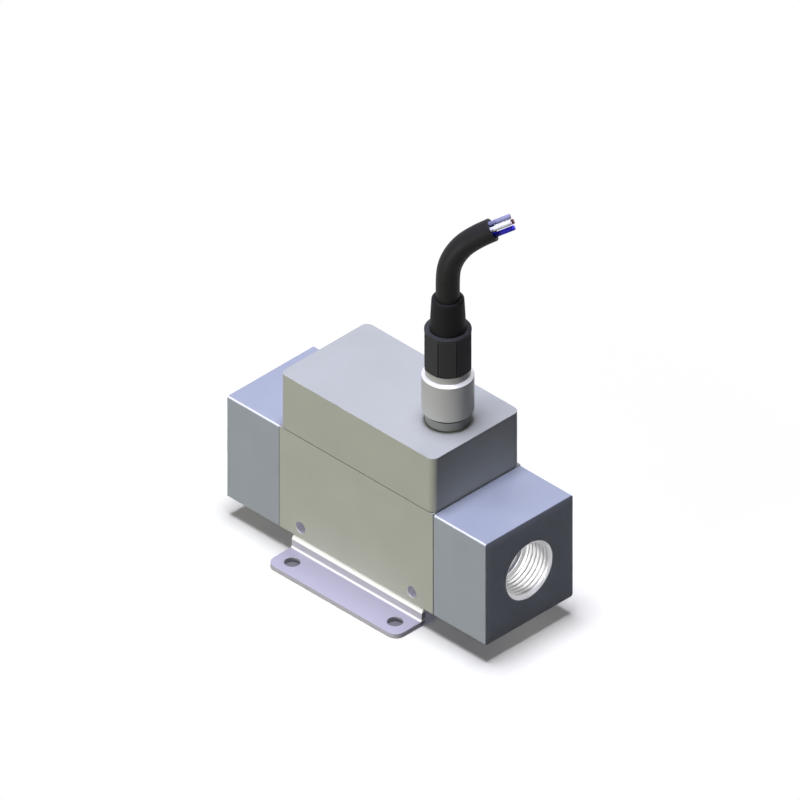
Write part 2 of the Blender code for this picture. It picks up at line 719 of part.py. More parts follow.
def vortex_probe():
    """The probe behind the shedder: a grooved stem, a blade in the flow and a lead to the board."""
    top = BODY_TOP
    groove_r = PROBE_STEM_R - PROBE_GROOVE_DEPTH
    groove = top - PROBE_GROOVE_BELOW
    half = PROBE_GROOVE_WIDTH / 2
    outline = [
        (0, PASSAGE_TOP),
        (PROBE_STEM_R, PASSAGE_TOP),
        (PROBE_STEM_R, groove - half),
        (groove_r, groove - half),
        (groove_r, groove + half),
        (PROBE_STEM_R, groove + half),
        (PROBE_STEM_R, top - SENSOR_FLANGE_THICKNESS),
        (SENSOR_FLANGE_R, top - SENSOR_FLANGE_THICKNESS),
        (SENSOR_FLANGE_R, top),
        (PROBE_LEAD_R, top),
        (PROBE_LEAD_R, BOARD_LOW - SEAT),
        (0, BOARD_LOW - SEAT),
    ]
    probe = turned("vortex_probe", outline, COARSE, (PROBE_X, 0, 0))
    across, along = PROBE_BLADE_THICKNESS / 2, PROBE_BLADE_WIDTH / 2
    low = (PROBE_X - along, -across, PASSAGE_TOP - PROBE_REACH)
    high = (PROBE_X + along, across, PASSAGE_TOP + OVERCUT)
    combine(probe, box("probe_blade", low, high), "UNION")
    finish(probe, "sensor_plastic")
    ring_hole = PROBE_STEM_R + RUNNING
    ring = sealing_ring("probe_o_ring", groove_r, ring_hole, groove, (PROBE_X, 0, 0))
    finish(ring, "black_rubber")


def clamp_plate():
    outline = rounded_rectangle(CLAMP_LENGTH, CLAMP_WIDTH, CLAMP_WIDTH / 2 - OVERCUT)
    low = BODY_TOP + SEAT
    plate = prism("clamp_plate", outline, low, CLAMP_TOP, at=(CLAMP_X, 0, 0))
    lead = PROBE_LEAD_R + RUNNING
    holes = [(PROBE_X, lead)] + [(x, M2[0] + THREAD_GAP) for x in clamp_screw_places()]
    for x, radius in holes:
        hole = rod("clamp_hole", radius, low - OVERCUT, CLAMP_TOP + OVERCUT, SMALL, (x, 0, 0))
        combine(plate, hole)
    finish(plate, "spring_steel")
    for number, x in enumerate(clamp_screw_places(), 1):
        screw(f"clamp_screw_{number}", M2, SMALL_SCREW_LENGTH, (x, 0, CLAMP_TOP + SEAT), pointing=-1)


# Circuit board


def circuit_board():
    outline = rounded_rectangle(BOARD_LENGTH, BOARD_WIDTH, OVERCUT, 3)
    board = prism("circuit_board", outline, BOARD_LOW, BOARD_TOP)
    for x, y in cover_screw_places():
        radius = BOSS_R + BOARD_NOTCH_GAP
        notch = rod("board_notch", radius, BOARD_LOW - OVERCUT, BOARD_TOP + OVERCUT, SMALL, (x, y, 0))
        combine(board, notch)
    for x, y in board_screw_places():
        low, high = BOARD_LOW - OVERCUT, BOARD_TOP + OVERCUT
        combine(board, screw_hole("board_hole", M2, low, high, (x, y, 0)))
    finish(board, "board_green")
    for number, (x, y) in enumerate(board_screw_places(), 1):
        at = (x, y, BOARD_TOP + SEAT)
        screw(f"board_screw_{number}", M2, SMALL_SCREW_LENGTH, at, pointing=-1)


def board_chip(name, size, place):
    length, width, height = size
    low = (place[0] - length / 2, place[1] - width / 2, BOARD_TOP + SEAT)
    high = (place[0] + length / 2, place[1] + width / 2, BOARD_TOP + SEAT + height)
    finish(box(name, low, high), "black_plastic")


def board_parts():
    board_chip("processor", PROCESSOR, PROCESSOR_AT)
    board_chip("output_transistor", TRANSISTOR, TRANSISTOR_AT)
    low = BOARD_TOP + SEAT
    place = (CAPACITOR_INSET - BOARD_LENGTH / 2, 0, 0)
    capacitor = rod("capacitor", CAPACITOR_R, low, low + CAPACITOR_HEIGHT, COARSE, place)
    finish(capacitor, "plated_brass")


# Top cover


def top_cover():
    outline = rounded_rectangle(BODY_LENGTH, BAR_SIDE, COVER_CORNER_R)
    cover = prism("top_cover", outline, COVER_RIM, COVER_TOP, smooth=True)
    hollow = prism("cover_hollow", gasket_outline(COVER_WALL), COVER_RIM - OVERCUT, ROOF_LOW)
    combine(cover, hollow)
    for x, y in cover_screw_places():
        boss = rod("cover_boss", BOSS_R, COVER_RIM, ROOF_LOW + COVER_ROOF / 2, SMALL, (x, y, 0))
        combine(cover, boss, "UNION")
    tip = BRACKET_LIFT + COVER_SCREW_SINK - SEAT + COVER_SCREW_LENGTH
    for x, y in cover_screw_places():
        high = tip + COVER_SCREW_SPARE
        combine(cover, screw_hole("boss_pilot", M3, COVER_RIM - OVERCUT, high, (x, y, 0)))
    low = ROOF_LOW - OVERCUT
    opening = [
        (0, low),
        (SEAL_R + RUNNING, low),
        (SEAL_R + RUNNING, ROOF_LOW + SEAL_RECESS),
        (STEM_R + RUNNING, ROOF_LOW + SEAL_RECESS),
        (STEM_R + RUNNING, COVER_TOP + OVERCUT),
        (0, COVER_TOP + OVERCUT),
    ]
    combine(cover, turned("receptacle_hole", opening, MEDIUM, (CONNECTOR_X, 0, 0)))
    finish(cover, "cover_resin")


def cover_fittings():
    outer, inner = gasket_insets()
    gasket = frame_ring("cover_gasket", outer, inner, BODY_TOP - GASKET_HEIGHT, BODY_TOP)
    finish(gasket, "black_rubber")
    seat = BRACKET_LIFT + COVER_SCREW_SINK - SEAT
    for number, (x, y) in enumerate(cover_screw_places(), 1):
        screw(f"cover_screw_{number}", M3, COVER_SCREW_LENGTH, (x, y, seat))


# Receptacle


def on_connector_axis(name):
    """An empty on the connector's axis at the cover's top. The pieces placed on it use its heights."""
    empty = bpy.data.objects.new(name, None)
    empty.location = (CONNECTOR_X, 0, COVER_TOP)
    bpy.context.scene.collection.objects.link(empty)
    return empty


def pin_places():
    return regular(PIN_COUNT, PIN_CIRCLE_R, math.pi / PIN_COUNT)


def receptacle(axis):
    ledge = LEDGE_HEIGHT - STEM_DEPTH
    shell = turned(
        "receptacle_shell",
        [
            (STEM_R, -STEM_DEPTH),
            (STEM_R, SEAT),
            (NECK_R, SEAT),
            (NECK_R, NECK_HEIGHT - NECK_CHAMFER),
            (NECK_R - NECK_CHAMFER, NECK_HEIGHT),
            (SHELL_BORE_R, NECK_HEIGHT),
            (SHELL_BORE_R, ledge),
            (SHELL_BORE_R - LEDGE_WIDTH, ledge),
            (SHELL_BORE_R - LEDGE_WIDTH, -STEM_DEPTH),
        ],
        MEDIUM,
    )
    finish(shell, "plated_brass")
    insert = rod("receptacle_insert", SHELL_BORE_R - SEAT, ledge + SEAT, RECEPTACLE_FACE, COARSE)
    for x, y in pin_places():
        radius = PIN_R + THREAD_GAP
        hole = rod("pin_hole", radius, ledge - OVERCUT, RECEPTACLE_FACE + OVERCUT, SMALL, (x, y, 0))
        combine(insert, hole)
    finish(insert, "black_plastic")
    tail = BOARD_TOP + SEAT - COVER_TOP
    outline = [(0, tail), (PIN_R, tail), (PIN_R, PIN_TIP - PIN_R), (PIN_R / 2, PIN_TIP), (0, PIN_TIP)]
    pins = [
        finish(turned(f"receptacle_pin_{number}", outline, SMALL, (x, y, 0)), "gold")
        for number, (x, y) in enumerate(pin_places(), 1)
    ]
    seal_low = SEAL_RECESS - COVER_ROOF - SEAT - SEAL_THICKNESS
    seal = sleeve("receptacle_seal", STEM_R + SEAT, SEAL_R, seal_low, seal_low + SEAL_THICKNESS, MEDIUM)
    finish(seal, "black_rubber")
    nut_top = -COVER_ROOF - SEAT
    corners = LOCK_NUT_FLATS / 2 / math.cos(math.pi / 6)
    outline = regular(6, corners, math.pi / 6)
    nut = prism("receptacle_lock_nut", outline, nut_top - LOCK_NUT_THICKNESS, nut_top)
    thread = STEM_R + THREAD_GAP
    thread_low, thread_high = nut_top - LOCK_NUT_THICKNESS - OVERCUT, nut_top + OVERCUT
    combine(nut, rod("lock_nut_thread", thread, thread_low, thread_high, MEDIUM))
    finish(nut, "plated_brass")
    hang([shell, insert, *pins, seal, nut], axis)


# Cable plug


def plug_insert():
    """The plug's inner body: the nose in the receptacle, the flange the nut presses, and the core above."""
    outline = [
        (0, NOSE_LOW),
        (SHELL_BORE_R - RUNNING, NOSE_LOW),
        (SHELL_BORE_R - RUNNING, FLANGE_LOW),
        (PLUG_FLANGE_R, FLANGE_LOW),
        (PLUG_FLANGE_R, FLANGE_TOP),
        (PLUG_CORE_R, FLANGE_TOP),
        (PLUG_CORE_R, PLUG_CORE_TOP),
        (0, PLUG_CORE_TOP),
    ]
    insert = finish(turned("plug_insert", outline, MEDIUM), "black_plastic")
    contact_r = PIN_R + THREAD_GAP + CONTACT_WALL
    low = NOSE_LOW + CONTACT_INSET
    made = [insert]
    for number, (x, y) in enumerate(pin_places(), 1):
        hole_top = low + CONTACT_LENGTH + SEAT
        hole = rod("contact_hole", contact_r + SEAT, NOSE_LOW - OVERCUT, hole_top, SMALL, (x, y, 0))
        combine(insert, hole)
        name = f"plug_contact_{number}"
        top = low + CONTACT_LENGTH
        made.append(sleeve(name, PIN_R + THREAD_GAP, contact_r, low, top, SMALL, (x, y, 0)))
        finish(made[-1], "gold")
    low = NECK_HEIGHT + SEAT
    inner = SHELL_BORE_R - RING_GAP
    outer = PLUG_FLANGE_R - RING_GAP
    seal = sleeve("plug_face_seal", inner, outer, low, low + FACE_SEAL_THICKNESS, MEDIUM)
    made.append(finish(seal, "black_rubber"))
    return made


def coupling_nut():
    """Screws onto the receptacle's neck, and its inner lip draws the plug's flange down."""
    lip = FLANGE_TOP + SEAT
    bore = NECK_R + THREAD_GAP
    outline = [
        (bore + NUT_MOUTH_CHAMFER, NUT_LOW),
        (NUT_R, NUT_LOW),
        (NUT_R, NUT_SHOULDER),
        (NUT_COLLAR_R, NUT_SHOULDER + NUT_CHAMFER_HEIGHT),
        (NUT_COLLAR_R, NUT_TOP),
        (PLUG_CORE_R + RUNNING, NUT_TOP),
        (PLUG_CORE_R + RUNNING, lip),
        (bore, lip),
        (bore, NUT_LOW + NUT_MOUTH_CHAMFER),
    ]
    return finish(turned("coupling_nut", outline, MEDIUM), "plated_brass")


def crowned_faces():
    """The grip's outline: eight faces, each bulging a little between its corners."""
    half = math.pi / GRIP_FACES
    chord = GRIP_R * math.cos(half)
    points = []
    for i in range(GRIP_FACES):
        middle = CABLE_HEADING + 2 * half * i
        for share in (-1, -0.5, 0, 0.5):
            rise = (GRIP_FACE_R - chord) * (1 - share * share)
            side = share * GRIP_R * math.sin(half)
            away = chord + rise
            turn = middle + math.atan2(side, away)
            radius = math.hypot(side, away)
            points.append((radius * math.cos(turn), radius * math.sin(turn)))
    return points


def plug_grip():
    grip = prism("plug_grip", crowned_faces(), GRIP_LOW, GRIP_TOP - GRIP_RIM, smooth=True)
    rim = [
        (0, GRIP_TOP - GRIP_RIM - OVERCUT),
        (GRIP_FACE_R - OVERCUT, GRIP_TOP - GRIP_RIM - OVERCUT),
        (GRIP_R, GRIP_TOP - GRIP_RIM),
        (GRIP_R, GRIP_TOP - GRIP_RIM_CHAMFER),
        (GRIP_R - GRIP_RIM_CHAMFER, GRIP_TOP),
        (0, GRIP_TOP),
    ]
    combine(grip, turned("grip_rim", rim, MEDIUM), "UNION")
    pocket = PLUG_CORE_R + SEAT
    combine(grip, rod("core_pocket", pocket, GRIP_LOW - OVERCUT, PLUG_CORE_TOP + SEAT, MEDIUM))
    entry = CABLE_R + RUNNING
    combine(grip, rod("cable_pocket", entry, CABLE_START - SEAT, GRIP_TOP + OVERCUT, MEDIUM))
    return finish(grip, "black_plastic")


def strain_relief():
    low = GRIP_TOP + SEAT
    bore = CABLE_R + RUNNING
    corner = (BOOT_HEAD_R - BOOT_FILLET, BOOT_TOP - BOOT_FILLET)
    outline = [(bore, low), (BOOT_FOOT_R, low), *arc(corner, BOOT_FILLET, 0, 90, 5), (bore, BOOT_TOP)]
    return finish(turned("strain_relief", outline, MEDIUM), "black_rubber")


# Cable


def smooth_line(points, steps):
    """A curve through every point, with the same number of steps in each stretch."""
    ends = [2 * points[0] - points[1], *points, 2 * points[-1] - points[-2]]
    line = []
    for a, b, c, d in zip(ends, ends[1:], ends[2:], ends[3:]):
        for i in range(steps):
            t = i / steps
            line.append(
                0.5 * (2 * b + (c - a) * t + (2 * a - 5 * b + 4 * c - d) * t**2)
                + 0.5 * (3 * b - a - 3 * c + d) * t**3
            )
    return line + [points[-1]]


def cable_line():
    lean = Vector((math.cos(CABLE_HEADING), math.sin(CABLE_HEADING), 0))
    points = [lean * out + Vector((0, 0, height)) for out, height in CABLE_ROUTE]
    return smooth_line(points, ROUTE_STEPS)


def cable():
    line = cable_line()
    made = [finish(tube("cable_jacket", line, CABLE_R, 4), "cable_black")]
    along = (line[-1] - line[-2]).normalized()
    across = along.cross(Vector((0, 0, 1))).normalized()
    core_way = Matrix.Rotation(-CORE_DROOP, 3, across) @ along
    upward = across.cross(core_way)
    for i, name in enumerate(CORE_NAMES):
        turn = CORE_TURN + i * 2 * math.pi / len(CORE_NAMES)
        offset = (across * math.cos(turn) + upward * math.sin(turn)) * CORE_CIRCLE_R
        start = line[-1] + along * (2 * SEAT) + offset
        points = [start, start + core_way * CORE_LENGTH / 2, start + core_way * CORE_LENGTH]
        made.append(finish(tube(name, points, CORE_R, 2), name.removeprefix("core_")))
    return made


def main():
    for obj in list(bpy.data.objects):
        bpy.data.objects.remove(obj, do_unlink=True)
    mounting_bracket()
    bracket_fasteners()
    flow_body()
    for name, side in (("inlet", -1), ("outlet", 1)):
        port_block(f"{name}_port_block", side)
        port_fittings(name, side)
    inlet_screen()
    vortex_shedder()
    vortex_probe()
    clamp_plate()
    circuit_board()
    board_parts()
    top_cover()
    cover_fittings()
    receptacle(on_connector_axis("receptacle_axis"))
    plug_axis = on_connector_axis("plug_axis")
    hang(plug_insert() + [coupling_nut(), plug_grip(), strain_relief()] + cable(), plug_axis)


main()
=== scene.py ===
import math

import bmesh
import bpy
from mathutils import Matrix, Vector


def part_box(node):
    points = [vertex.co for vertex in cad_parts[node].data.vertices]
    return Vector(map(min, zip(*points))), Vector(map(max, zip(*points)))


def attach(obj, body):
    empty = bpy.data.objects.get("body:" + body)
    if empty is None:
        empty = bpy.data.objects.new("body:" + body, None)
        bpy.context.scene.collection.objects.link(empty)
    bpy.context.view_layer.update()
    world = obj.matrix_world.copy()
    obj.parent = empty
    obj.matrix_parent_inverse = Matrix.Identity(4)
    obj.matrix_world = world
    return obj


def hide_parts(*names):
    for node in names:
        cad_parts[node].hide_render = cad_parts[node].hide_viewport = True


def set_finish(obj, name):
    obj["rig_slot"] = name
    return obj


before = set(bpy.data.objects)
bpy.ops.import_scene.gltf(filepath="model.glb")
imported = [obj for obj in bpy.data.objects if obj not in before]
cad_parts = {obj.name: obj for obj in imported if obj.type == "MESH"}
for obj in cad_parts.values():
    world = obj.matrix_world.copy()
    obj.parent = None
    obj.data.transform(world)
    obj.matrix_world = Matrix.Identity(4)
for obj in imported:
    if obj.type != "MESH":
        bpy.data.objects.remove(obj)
for name in ("Cube", "Light", "Camera"):
    if name in bpy.data.objects:
        bpy.data.objects.remove(bpy.data.objects[name], do_unlink=True)
bpy.context.view_layer.update()

MM = 0.001
TURN = 2 * math.pi

# Places that the CAD gives, in metres
COVER_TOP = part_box("top_cover")[1].z
SHELL_LOW, SHELL_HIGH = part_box("receptacle_shell")
CONNECTOR = Vector(((SHELL_LOW.x + SHELL_HIGH.x) / 2, (SHELL_LOW.y + SHELL_HIGH.y) / 2, COVER_TOP))
BODY_LOW, BODY_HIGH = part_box("flow_body")
BLOCK_LOW, BLOCK_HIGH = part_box("outlet_port_block")
AXIS_Z = (BLOCK_LOW.z + BLOCK_HIGH.z) / 2
HALF_SIDE = BLOCK_HIGH.y
CROSS_HOLE_INSET, CROSS_HOLE_HEIGHT = 0.0077, 0.00375  # from the body's end and its underside
CROSS_HOLE_X, CROSS_HOLE_Z = BODY_HIGH.x - CROSS_HOLE_INSET, BODY_LOW.z + CROSS_HOLE_HEIGHT
SHADE_INSET = Vector((0.001, 0.001, 0))  # of the floor's painted shadow patches, inside the feet's edges
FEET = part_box("mounting_bracket")[1] - SHADE_INSET


def linked(name, data):
    obj = bpy.data.objects.new(name, data)
    bpy.context.scene.collection.objects.link(obj)
    return obj


# Camera

VIEW_WIDTH = 0.2067
VIEW_HEIGHT, VIEW_DISTANCE = 0.0518, 0.6


def make_camera():
    """Looks from the front right above, as the picture does, with no perspective."""
    data = bpy.data.cameras.new("camera")
    data.type = "ORTHO"
    data.ortho_scale = VIEW_WIDTH
    data.clip_start, data.clip_end = 0.01, 5
    camera = linked("camera", data)
    back = Vector((1, -1, 1)).normalized()
    camera.location = Vector((0, 0, VIEW_HEIGHT)) + back * VIEW_DISTANCE
    camera.rotation_euler = back.to_track_quat("Z", "Y").to_euler()
    bpy.context.scene.camera = camera


make_camera()


# Mesh making

def finished(name, mesh, bm, angle):
    """An object from a bmesh: faces outward, smooth but for the edges sharper than an angle."""
    bmesh.ops.recalc_face_normals(bm, faces=bm.faces)
    bm.to_mesh(mesh)
    bm.free()
    mesh.shade_smooth()
    mesh.set_sharp_from_angle(angle=math.radians(angle))
    return linked(name, mesh)


def ring_mesh(name, rings, angle, loop=False):
    """A skin over rings of as many points each. A loop joins the last ring to the first."""
    count = len(rings[0])
    points = [tuple(p) for ring in rings for p in ring]
    faces = []
    for i in range(len(rings) if loop else len(rings) - 1):
        a, b = i * count, (i + 1) % len(rings) * count
        faces += [(a + j, a + (j + 1) % count, b + (j + 1) % count, b + j) for j in range(count)]
    if not loop:
        last = (len(rings) - 1) * count
        faces += [tuple(reversed(range(count))), tuple(range(last, last + count))]
    mesh = bpy.data.meshes.new(name)
    mesh.from_pydata(points, [], faces)
    bm = bmesh.new()
    bm.from_mesh(mesh)
    return finished(name, mesh, bm, angle)


def around(steps):
    return [TURN * i / steps for i in range(steps)]


def spokes(side, up, steps):
    """Directions round a line, from one that lies across it towards another."""
    return [side * math.cos(t) + up * math.sin(t) for t in around(steps)]


def upright(turns, height, radius):
    """A ring round the connector's axis. The radius is a number or depends on the angle."""
    ring = []
    for t in turns:
        r = radius(t) if callable(radius) else radius
        ring.append(CONNECTOR + Vector((r * math.cos(t), r * math.sin(t), height)))
    return ring


def profile(turns, *points):
    """Plain rings round the connector's axis, from heights and radii in millimetres."""
    return [upright(turns, h * MM, r * MM) for h, r in points]


def heights(low, high, step):
    count = max(1, round((high - low) / step))
    return [low + (high - low) * i / count for i in range(count + 1)]


def on(piece, body, slot, *nodes):
    """Puts a piece on its body, with its material slot and the CAD nodes that it replaces."""
    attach(piece, body)
    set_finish(piece, slot)
    if nodes:
        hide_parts(*nodes)
    return piece


def eased(share):
    share = min(max(share, 0), 1)
    return share * share * (3 - 2 * share)


def wave(phase):
    """A thread's profile: 0 at the root and 1 at the crest, with short flats on both."""
    share = 1 - abs(2 * (phase % 1) - 1)
    return eased((share - 0.1) / 0.8)


# Cable and its cores, on the points that the CAD's cable follows

CABLE_R = 3.15 * MM
CABLE_HEADING = math.radians(45)
CABLE_LEAN = Vector((math.cos(CABLE_HEADING), math.sin(CABLE_HEADING), 0))
CABLE_SIDE = Vector((-math.sin(CABLE_HEADING), math.cos(CABLE_HEADING), 0))
CABLE_ROUTE = (  # out along the lean and up from the cover, in metres
    (0.0, 0.027),
    (0.0, 0.036),
    (0.0, 0.0444),
    (0.0005, 0.0486),
    (0.002, 0.0522),
    (0.0045, 0.0554),
    (0.008, 0.058),
    (0.0116, 0.06),
)
CABLE_SIDES, CORE_SIDES, STRAND_SIDES = 56, 28, 10
END_SETBACK = 0.12  # of the cable's last round ring, in millimetres
# The cut end's depths and radii in millimetres: a soft lip, the jacket's wall and the filler inside
CUT_END = ((0.03, 3.11), (0.0, 3.02), (0.0, 2.5), (0.06, 2.42), (0.75, 2.4), (0.8, 1.2), (0.8, 0.3))

# The cores, in millimetres and radians
CORE_COLOURS = ("white", "grey", "brown", "blue")
CORE_BARE = 5.25  # past the jacket
CORE_START, CORE_CIRCLE = 0.4, 1.56
CORE_TURN, CORE_DROOP = math.radians(31.8), -math.radians(3.1)
CORE_OUTLINE = (
    (-1.0, 0.5), (-1.0, 0.69), (2.7, 0.69), (CORE_BARE - 0.08, 0.69),
    (CORE_BARE - 0.02, 0.66), (CORE_BARE, 0.6), (CORE_BARE, 0.33), (CORE_BARE - 0.06, 0.32),
)
STRANDS_IN_RING = 6
STRAND_DEPTH, STRAND_CIRCLE, STRAND_R = 0.75, 0.2, 0.1


def smooth_line(points, steps):
    """A smooth curve through the points, with as many steps between each two."""
    ends = [2 * points[0] - points[1], *points, 2 * points[-1] - points[-2]]
    line = []
    for a, b, c, d in zip(ends, ends[1:], ends[2:], ends[3:]):
        for i in range(steps):
            t = i / steps
            line.append(
                0.5 * (2 * b + (c - a) * t + (2 * a - 5 * b + 4 * c - d) * t**2)
                + 0.5 * (3 * b - a - 3 * c + d) * t**3
            )
    return line + [points[-1]]


def cable_line(steps):
    points = [CONNECTOR + CABLE_LEAN * out + Vector((0, 0, up)) for out, up in CABLE_ROUTE]
    return smooth_line(points, steps)


def tube_rings(line, radius):
    """Rings along a line that bends in the cable's upright plane."""
    rings = []
    for i, point in enumerate(line):
        along = (line[min(i + 1, len(line) - 1)] - line[max(i - 1, 0)]).normalized()
        up = along.cross(CABLE_SIDE).normalized()
        rings.append([point + spoke * radius for spoke in spokes(CABLE_SIDE, up, CABLE_SIDES)])
    return rings


def make_cable():
    line = cable_line(8)
    along = (line[-1] - line[-2]).normalized()
    end = line[-1]
    rings = tube_rings(line[:-1] + [end - along * END_SETBACK * MM], CABLE_R)
    up = along.cross(CABLE_SIDE).normalized()
    for depth, radius in CUT_END:
        middle = end - along * depth * MM
        rings.append([middle + s * radius * MM for s in spokes(CABLE_SIDE, up, CABLE_SIDES)])
    jacket = ring_mesh("cable_jacket_skin", rings, 50)
    on(jacket, "plug", "cable_black", "cable_jacket")
    cores = make_cores(end, along)
    return jacket, cores


def make_cores(end, along):
    """The four cores, each with its insulation cut square and the conductor's strands in its end."""
    across = along.cross(Vector((0, 0, 1))).normalized()
    way = Matrix.Rotation(CORE_DROOP, 3, across) @ along
    upward = across.cross(way)
    side = way.cross(upward).normalized()
    made = []
    for i, colour in enumerate(CORE_COLOURS):
        turn = CORE_TURN + i * TURN / 4
        away = (across * math.cos(turn) + upward * math.sin(turn)) * CORE_CIRCLE * MM
        start = end + along * CORE_START * MM + away
        rings = []
        for out, radius in CORE_OUTLINE:
            middle = start + way * out * MM
            rings.append([middle + s * radius * MM for s in spokes(side, upward, CORE_SIDES)])
        core = ring_mesh(f"core_{colour}_insulation", rings, 50)
        made.append(on(core, "plug", f"core_{colour}", f"core_{colour}"))
        strands = make_strands(f"core_{colour}_strands", start + way * CORE_BARE * MM, way, side, upward)
        made.append(on(strands, "plug", "plated_metal"))
    return made


def make_strands(name, tip, way, side, upward):
    """A conductor's strands, one in the middle and six round it, with slightly rounded ends."""
    bm = bmesh.new()
    for k in range(STRANDS_IN_RING + 1):
        turn = k * TURN / STRANDS_IN_RING
        away = 0 if k == 0 else STRAND_CIRCLE * MM
        place = tip - way * STRAND_DEPTH * MM + (side * math.cos(turn) + upward * math.sin(turn)) * away
        low = [place + s * STRAND_R * MM for s in spokes(side, upward, STRAND_SIDES)]
        loops = []
        for out, share in ((0, 1), (0.66 * MM, 1), (0.71 * MM, 0.7)):
            loops.append([bm.verts.new(place + way * out + (p - place) * share) for p in low])
        for a, b in zip(loops, loops[1:]):
            for j in range(STRAND_SIDES):
                following = (j + 1) % STRAND_SIDES
                bm.faces.new((a[j], a[following], b[following], b[j]))
        bm.faces.new(loops[-1])
        bm.faces.new(list(reversed(loops[0])))
    return finished(name, bpy.data.meshes.new(name), bm, 40)


jacket, cores = make_cable()


# Receptacle's shell and the coupling nut, whose threads mesh at every height

THREAD_PITCH = 1.0 * MM
THREAD_CREST, THREAD_ROOT = 5.95 * MM, 5.36 * MM
THREAD_DEPTH = THREAD_CREST - THREAD_ROOT
THREAD_FADE = 0.4 * MM  # height over which a thread runs out
THREAD_STEP = 0.055 * MM  # between the rings of a thread
MESH_GAP, NUT_EXTRA = 0.12 * MM, 0.03 * MM  # at the root and more at the crest
NECK_THREAD_LOW, NECK_TOP = 3.7 * MM, 9.2 * MM
NUT_THREAD_LOW, NUT_THREAD_HIGH = 4.3 * MM, 9.15 * MM
NUT_RINGS_LOW = 4.25 * MM


def shell_thread(height):
    """The neck's outer radius at an angle: its thread, easing in low down, with a chamfer on top."""

    def radius(t):
        depth = THREAD_DEPTH * eased((height - NECK_THREAD_LOW) / THREAD_FADE)
        r = THREAD_CREST - depth * (1 - wave(height / THREAD_PITCH - t / TURN))
        return min(r, THREAD_ROOT - 0.05 * MM + (NECK_TOP - height))

    return radius


def nut_thread(height):
    """The nut's bore: the neck's thread with a gap all round, running out at both ends."""

    def radius(t):
        low, high = (height - NUT_THREAD_LOW) / THREAD_FADE, (NUT_THREAD_HIGH - height) / THREAD_FADE
        inner = THREAD_ROOT + MESH_GAP
        depth = (THREAD_DEPTH + NUT_EXTRA) * (eased(low) * eased(high))
        return inner + THREAD_DEPTH + NUT_EXTRA - depth * (1 - wave(height / THREAD_PITCH - t / TURN))

    return radius


def make_shell():
    turns = around(88)
    # The part inside the cover, then the neck with the relief under its thread
    rings = profile(
        turns, (-5.7, 4.5), (-5.7, 5.0), (-5.5, 5.2), (0.2, 5.2), (0.2, 5.75), (0.24, 5.88), (0.34, 5.95),
        (2.68, 5.95), (2.74, 5.9), (2.84, 5.5), (3.4, 5.5), (3.6, 5.9),
    )
    for height in heights(NECK_THREAD_LOW, NECK_TOP, THREAD_STEP):
        rings.append(upright(turns, height, shell_thread(height)))
    rings += profile(turns, (9.2, 4.75), (9.05, 4.5), (-4.2, 4.5), (-4.2, 3.8), (-5.7, 3.8))
    shell = ring_mesh("receptacle_threaded_shell", rings, 24, loop=True)
    return on(shell, "sensor", "plated_metal", "receptacle_shell")


def make_nut():
    turns = around(96)
    # Up the outside with its chamfer and collar, then down the bore
    rings = profile(
        turns, (3.94, 6.1), (3.64, 6.4), (3.64, 6.74), (3.68, 6.85), (3.78, 6.9), (8.9, 6.9),
        (14.29, 6.9), (14.33, 6.88), (14.97, 5.94), (15.0, 5.9), (16.7, 5.9), (16.78, 5.86), (16.8, 5.78),
        (16.8, 5.0), (16.7, 4.9), (11.8, 4.9), (11.8, 6.1), (9.2, 6.1),
    )
    for height in reversed(heights(NUT_RINGS_LOW, NUT_THREAD_HIGH, THREAD_STEP)):
        rings.append(upright(turns, height, nut_thread(height)))
    rings += profile(turns, (4.15, 6.1))
    nut = ring_mesh("coupling_nut_turned", rings, 22, loop=True)
    return on(nut, "coupling_nut", "plated_metal", "coupling_nut")


shell, nut = make_shell(), make_nut()


# Grip and boot

GRIP_R, GRIP_FACE_R, GRIP_FACES = 6.48 * MM, 6.1 * MM, 8
GROOVE_DEPTH, GROOVE_SHARE = 0.42 * MM, 0.11
GRIP_STATIONS = (-1, GROOVE_SHARE - 1, -0.84, -0.6, -0.3, 0, 0.3, 0.6, 0.84, 1 - GROOVE_SHARE)
# The grip's outside: a height in millimetres, how far it is crowned, and how far it draws in
GRIP_OUTSIDE = (
    (17.0, 1, 0.22), (17.04, 1, 0.1), (17.12, 1, 0.03), (17.25, 1, 0), (20.0, 1, 0), (24.0, 1, 0),
    (28.05, 1, 0), (28.2, 0.96, 0.02), (28.28, 0.7, 0.12), (28.32, 0.25, 0.22), (28.38, 0, 0.28),
    (28.7, 0, 0.28), (28.85, 0, 0.31), (28.95, 0, 0.39), (29.0, 0, 0.53),
)
LIP_STEPS = 8
LIP_R, LIP_MIDDLE = 0.55, (38.05, 3.74)  # the boot's rounded rim, its height and radius in millimetres


def grip_turns():
    """Angles round the grip, close together beside the grooves."""
    turns = []
    for face in range(GRIP_FACES):
        for along in GRIP_STATIONS:
            turns.append(CABLE_HEADING + TURN / GRIP_FACES * (face + along / 2))
    return turns


def crowned(share, shrink):
    """The grip's radius at an angle: round at 0, and eight crowned flats with grooves between at 1."""

    def radius(t):
        half = math.pi / GRIP_FACES
        local = (t - CABLE_HEADING + half) % (2 * half) - half
        chord = GRIP_R * math.cos(half)
        along = abs(local / half)
        flat = chord / math.cos(local)
        bulge = (GRIP_FACE_R - chord) * (1 - along * along)
        groove = GROOVE_DEPTH * max(0, (along - 1 + GROOVE_SHARE) / GROOVE_SHARE)
        return GRIP_R * (1 - share) + (flat + bulge - groove) * share - shrink

    return radius


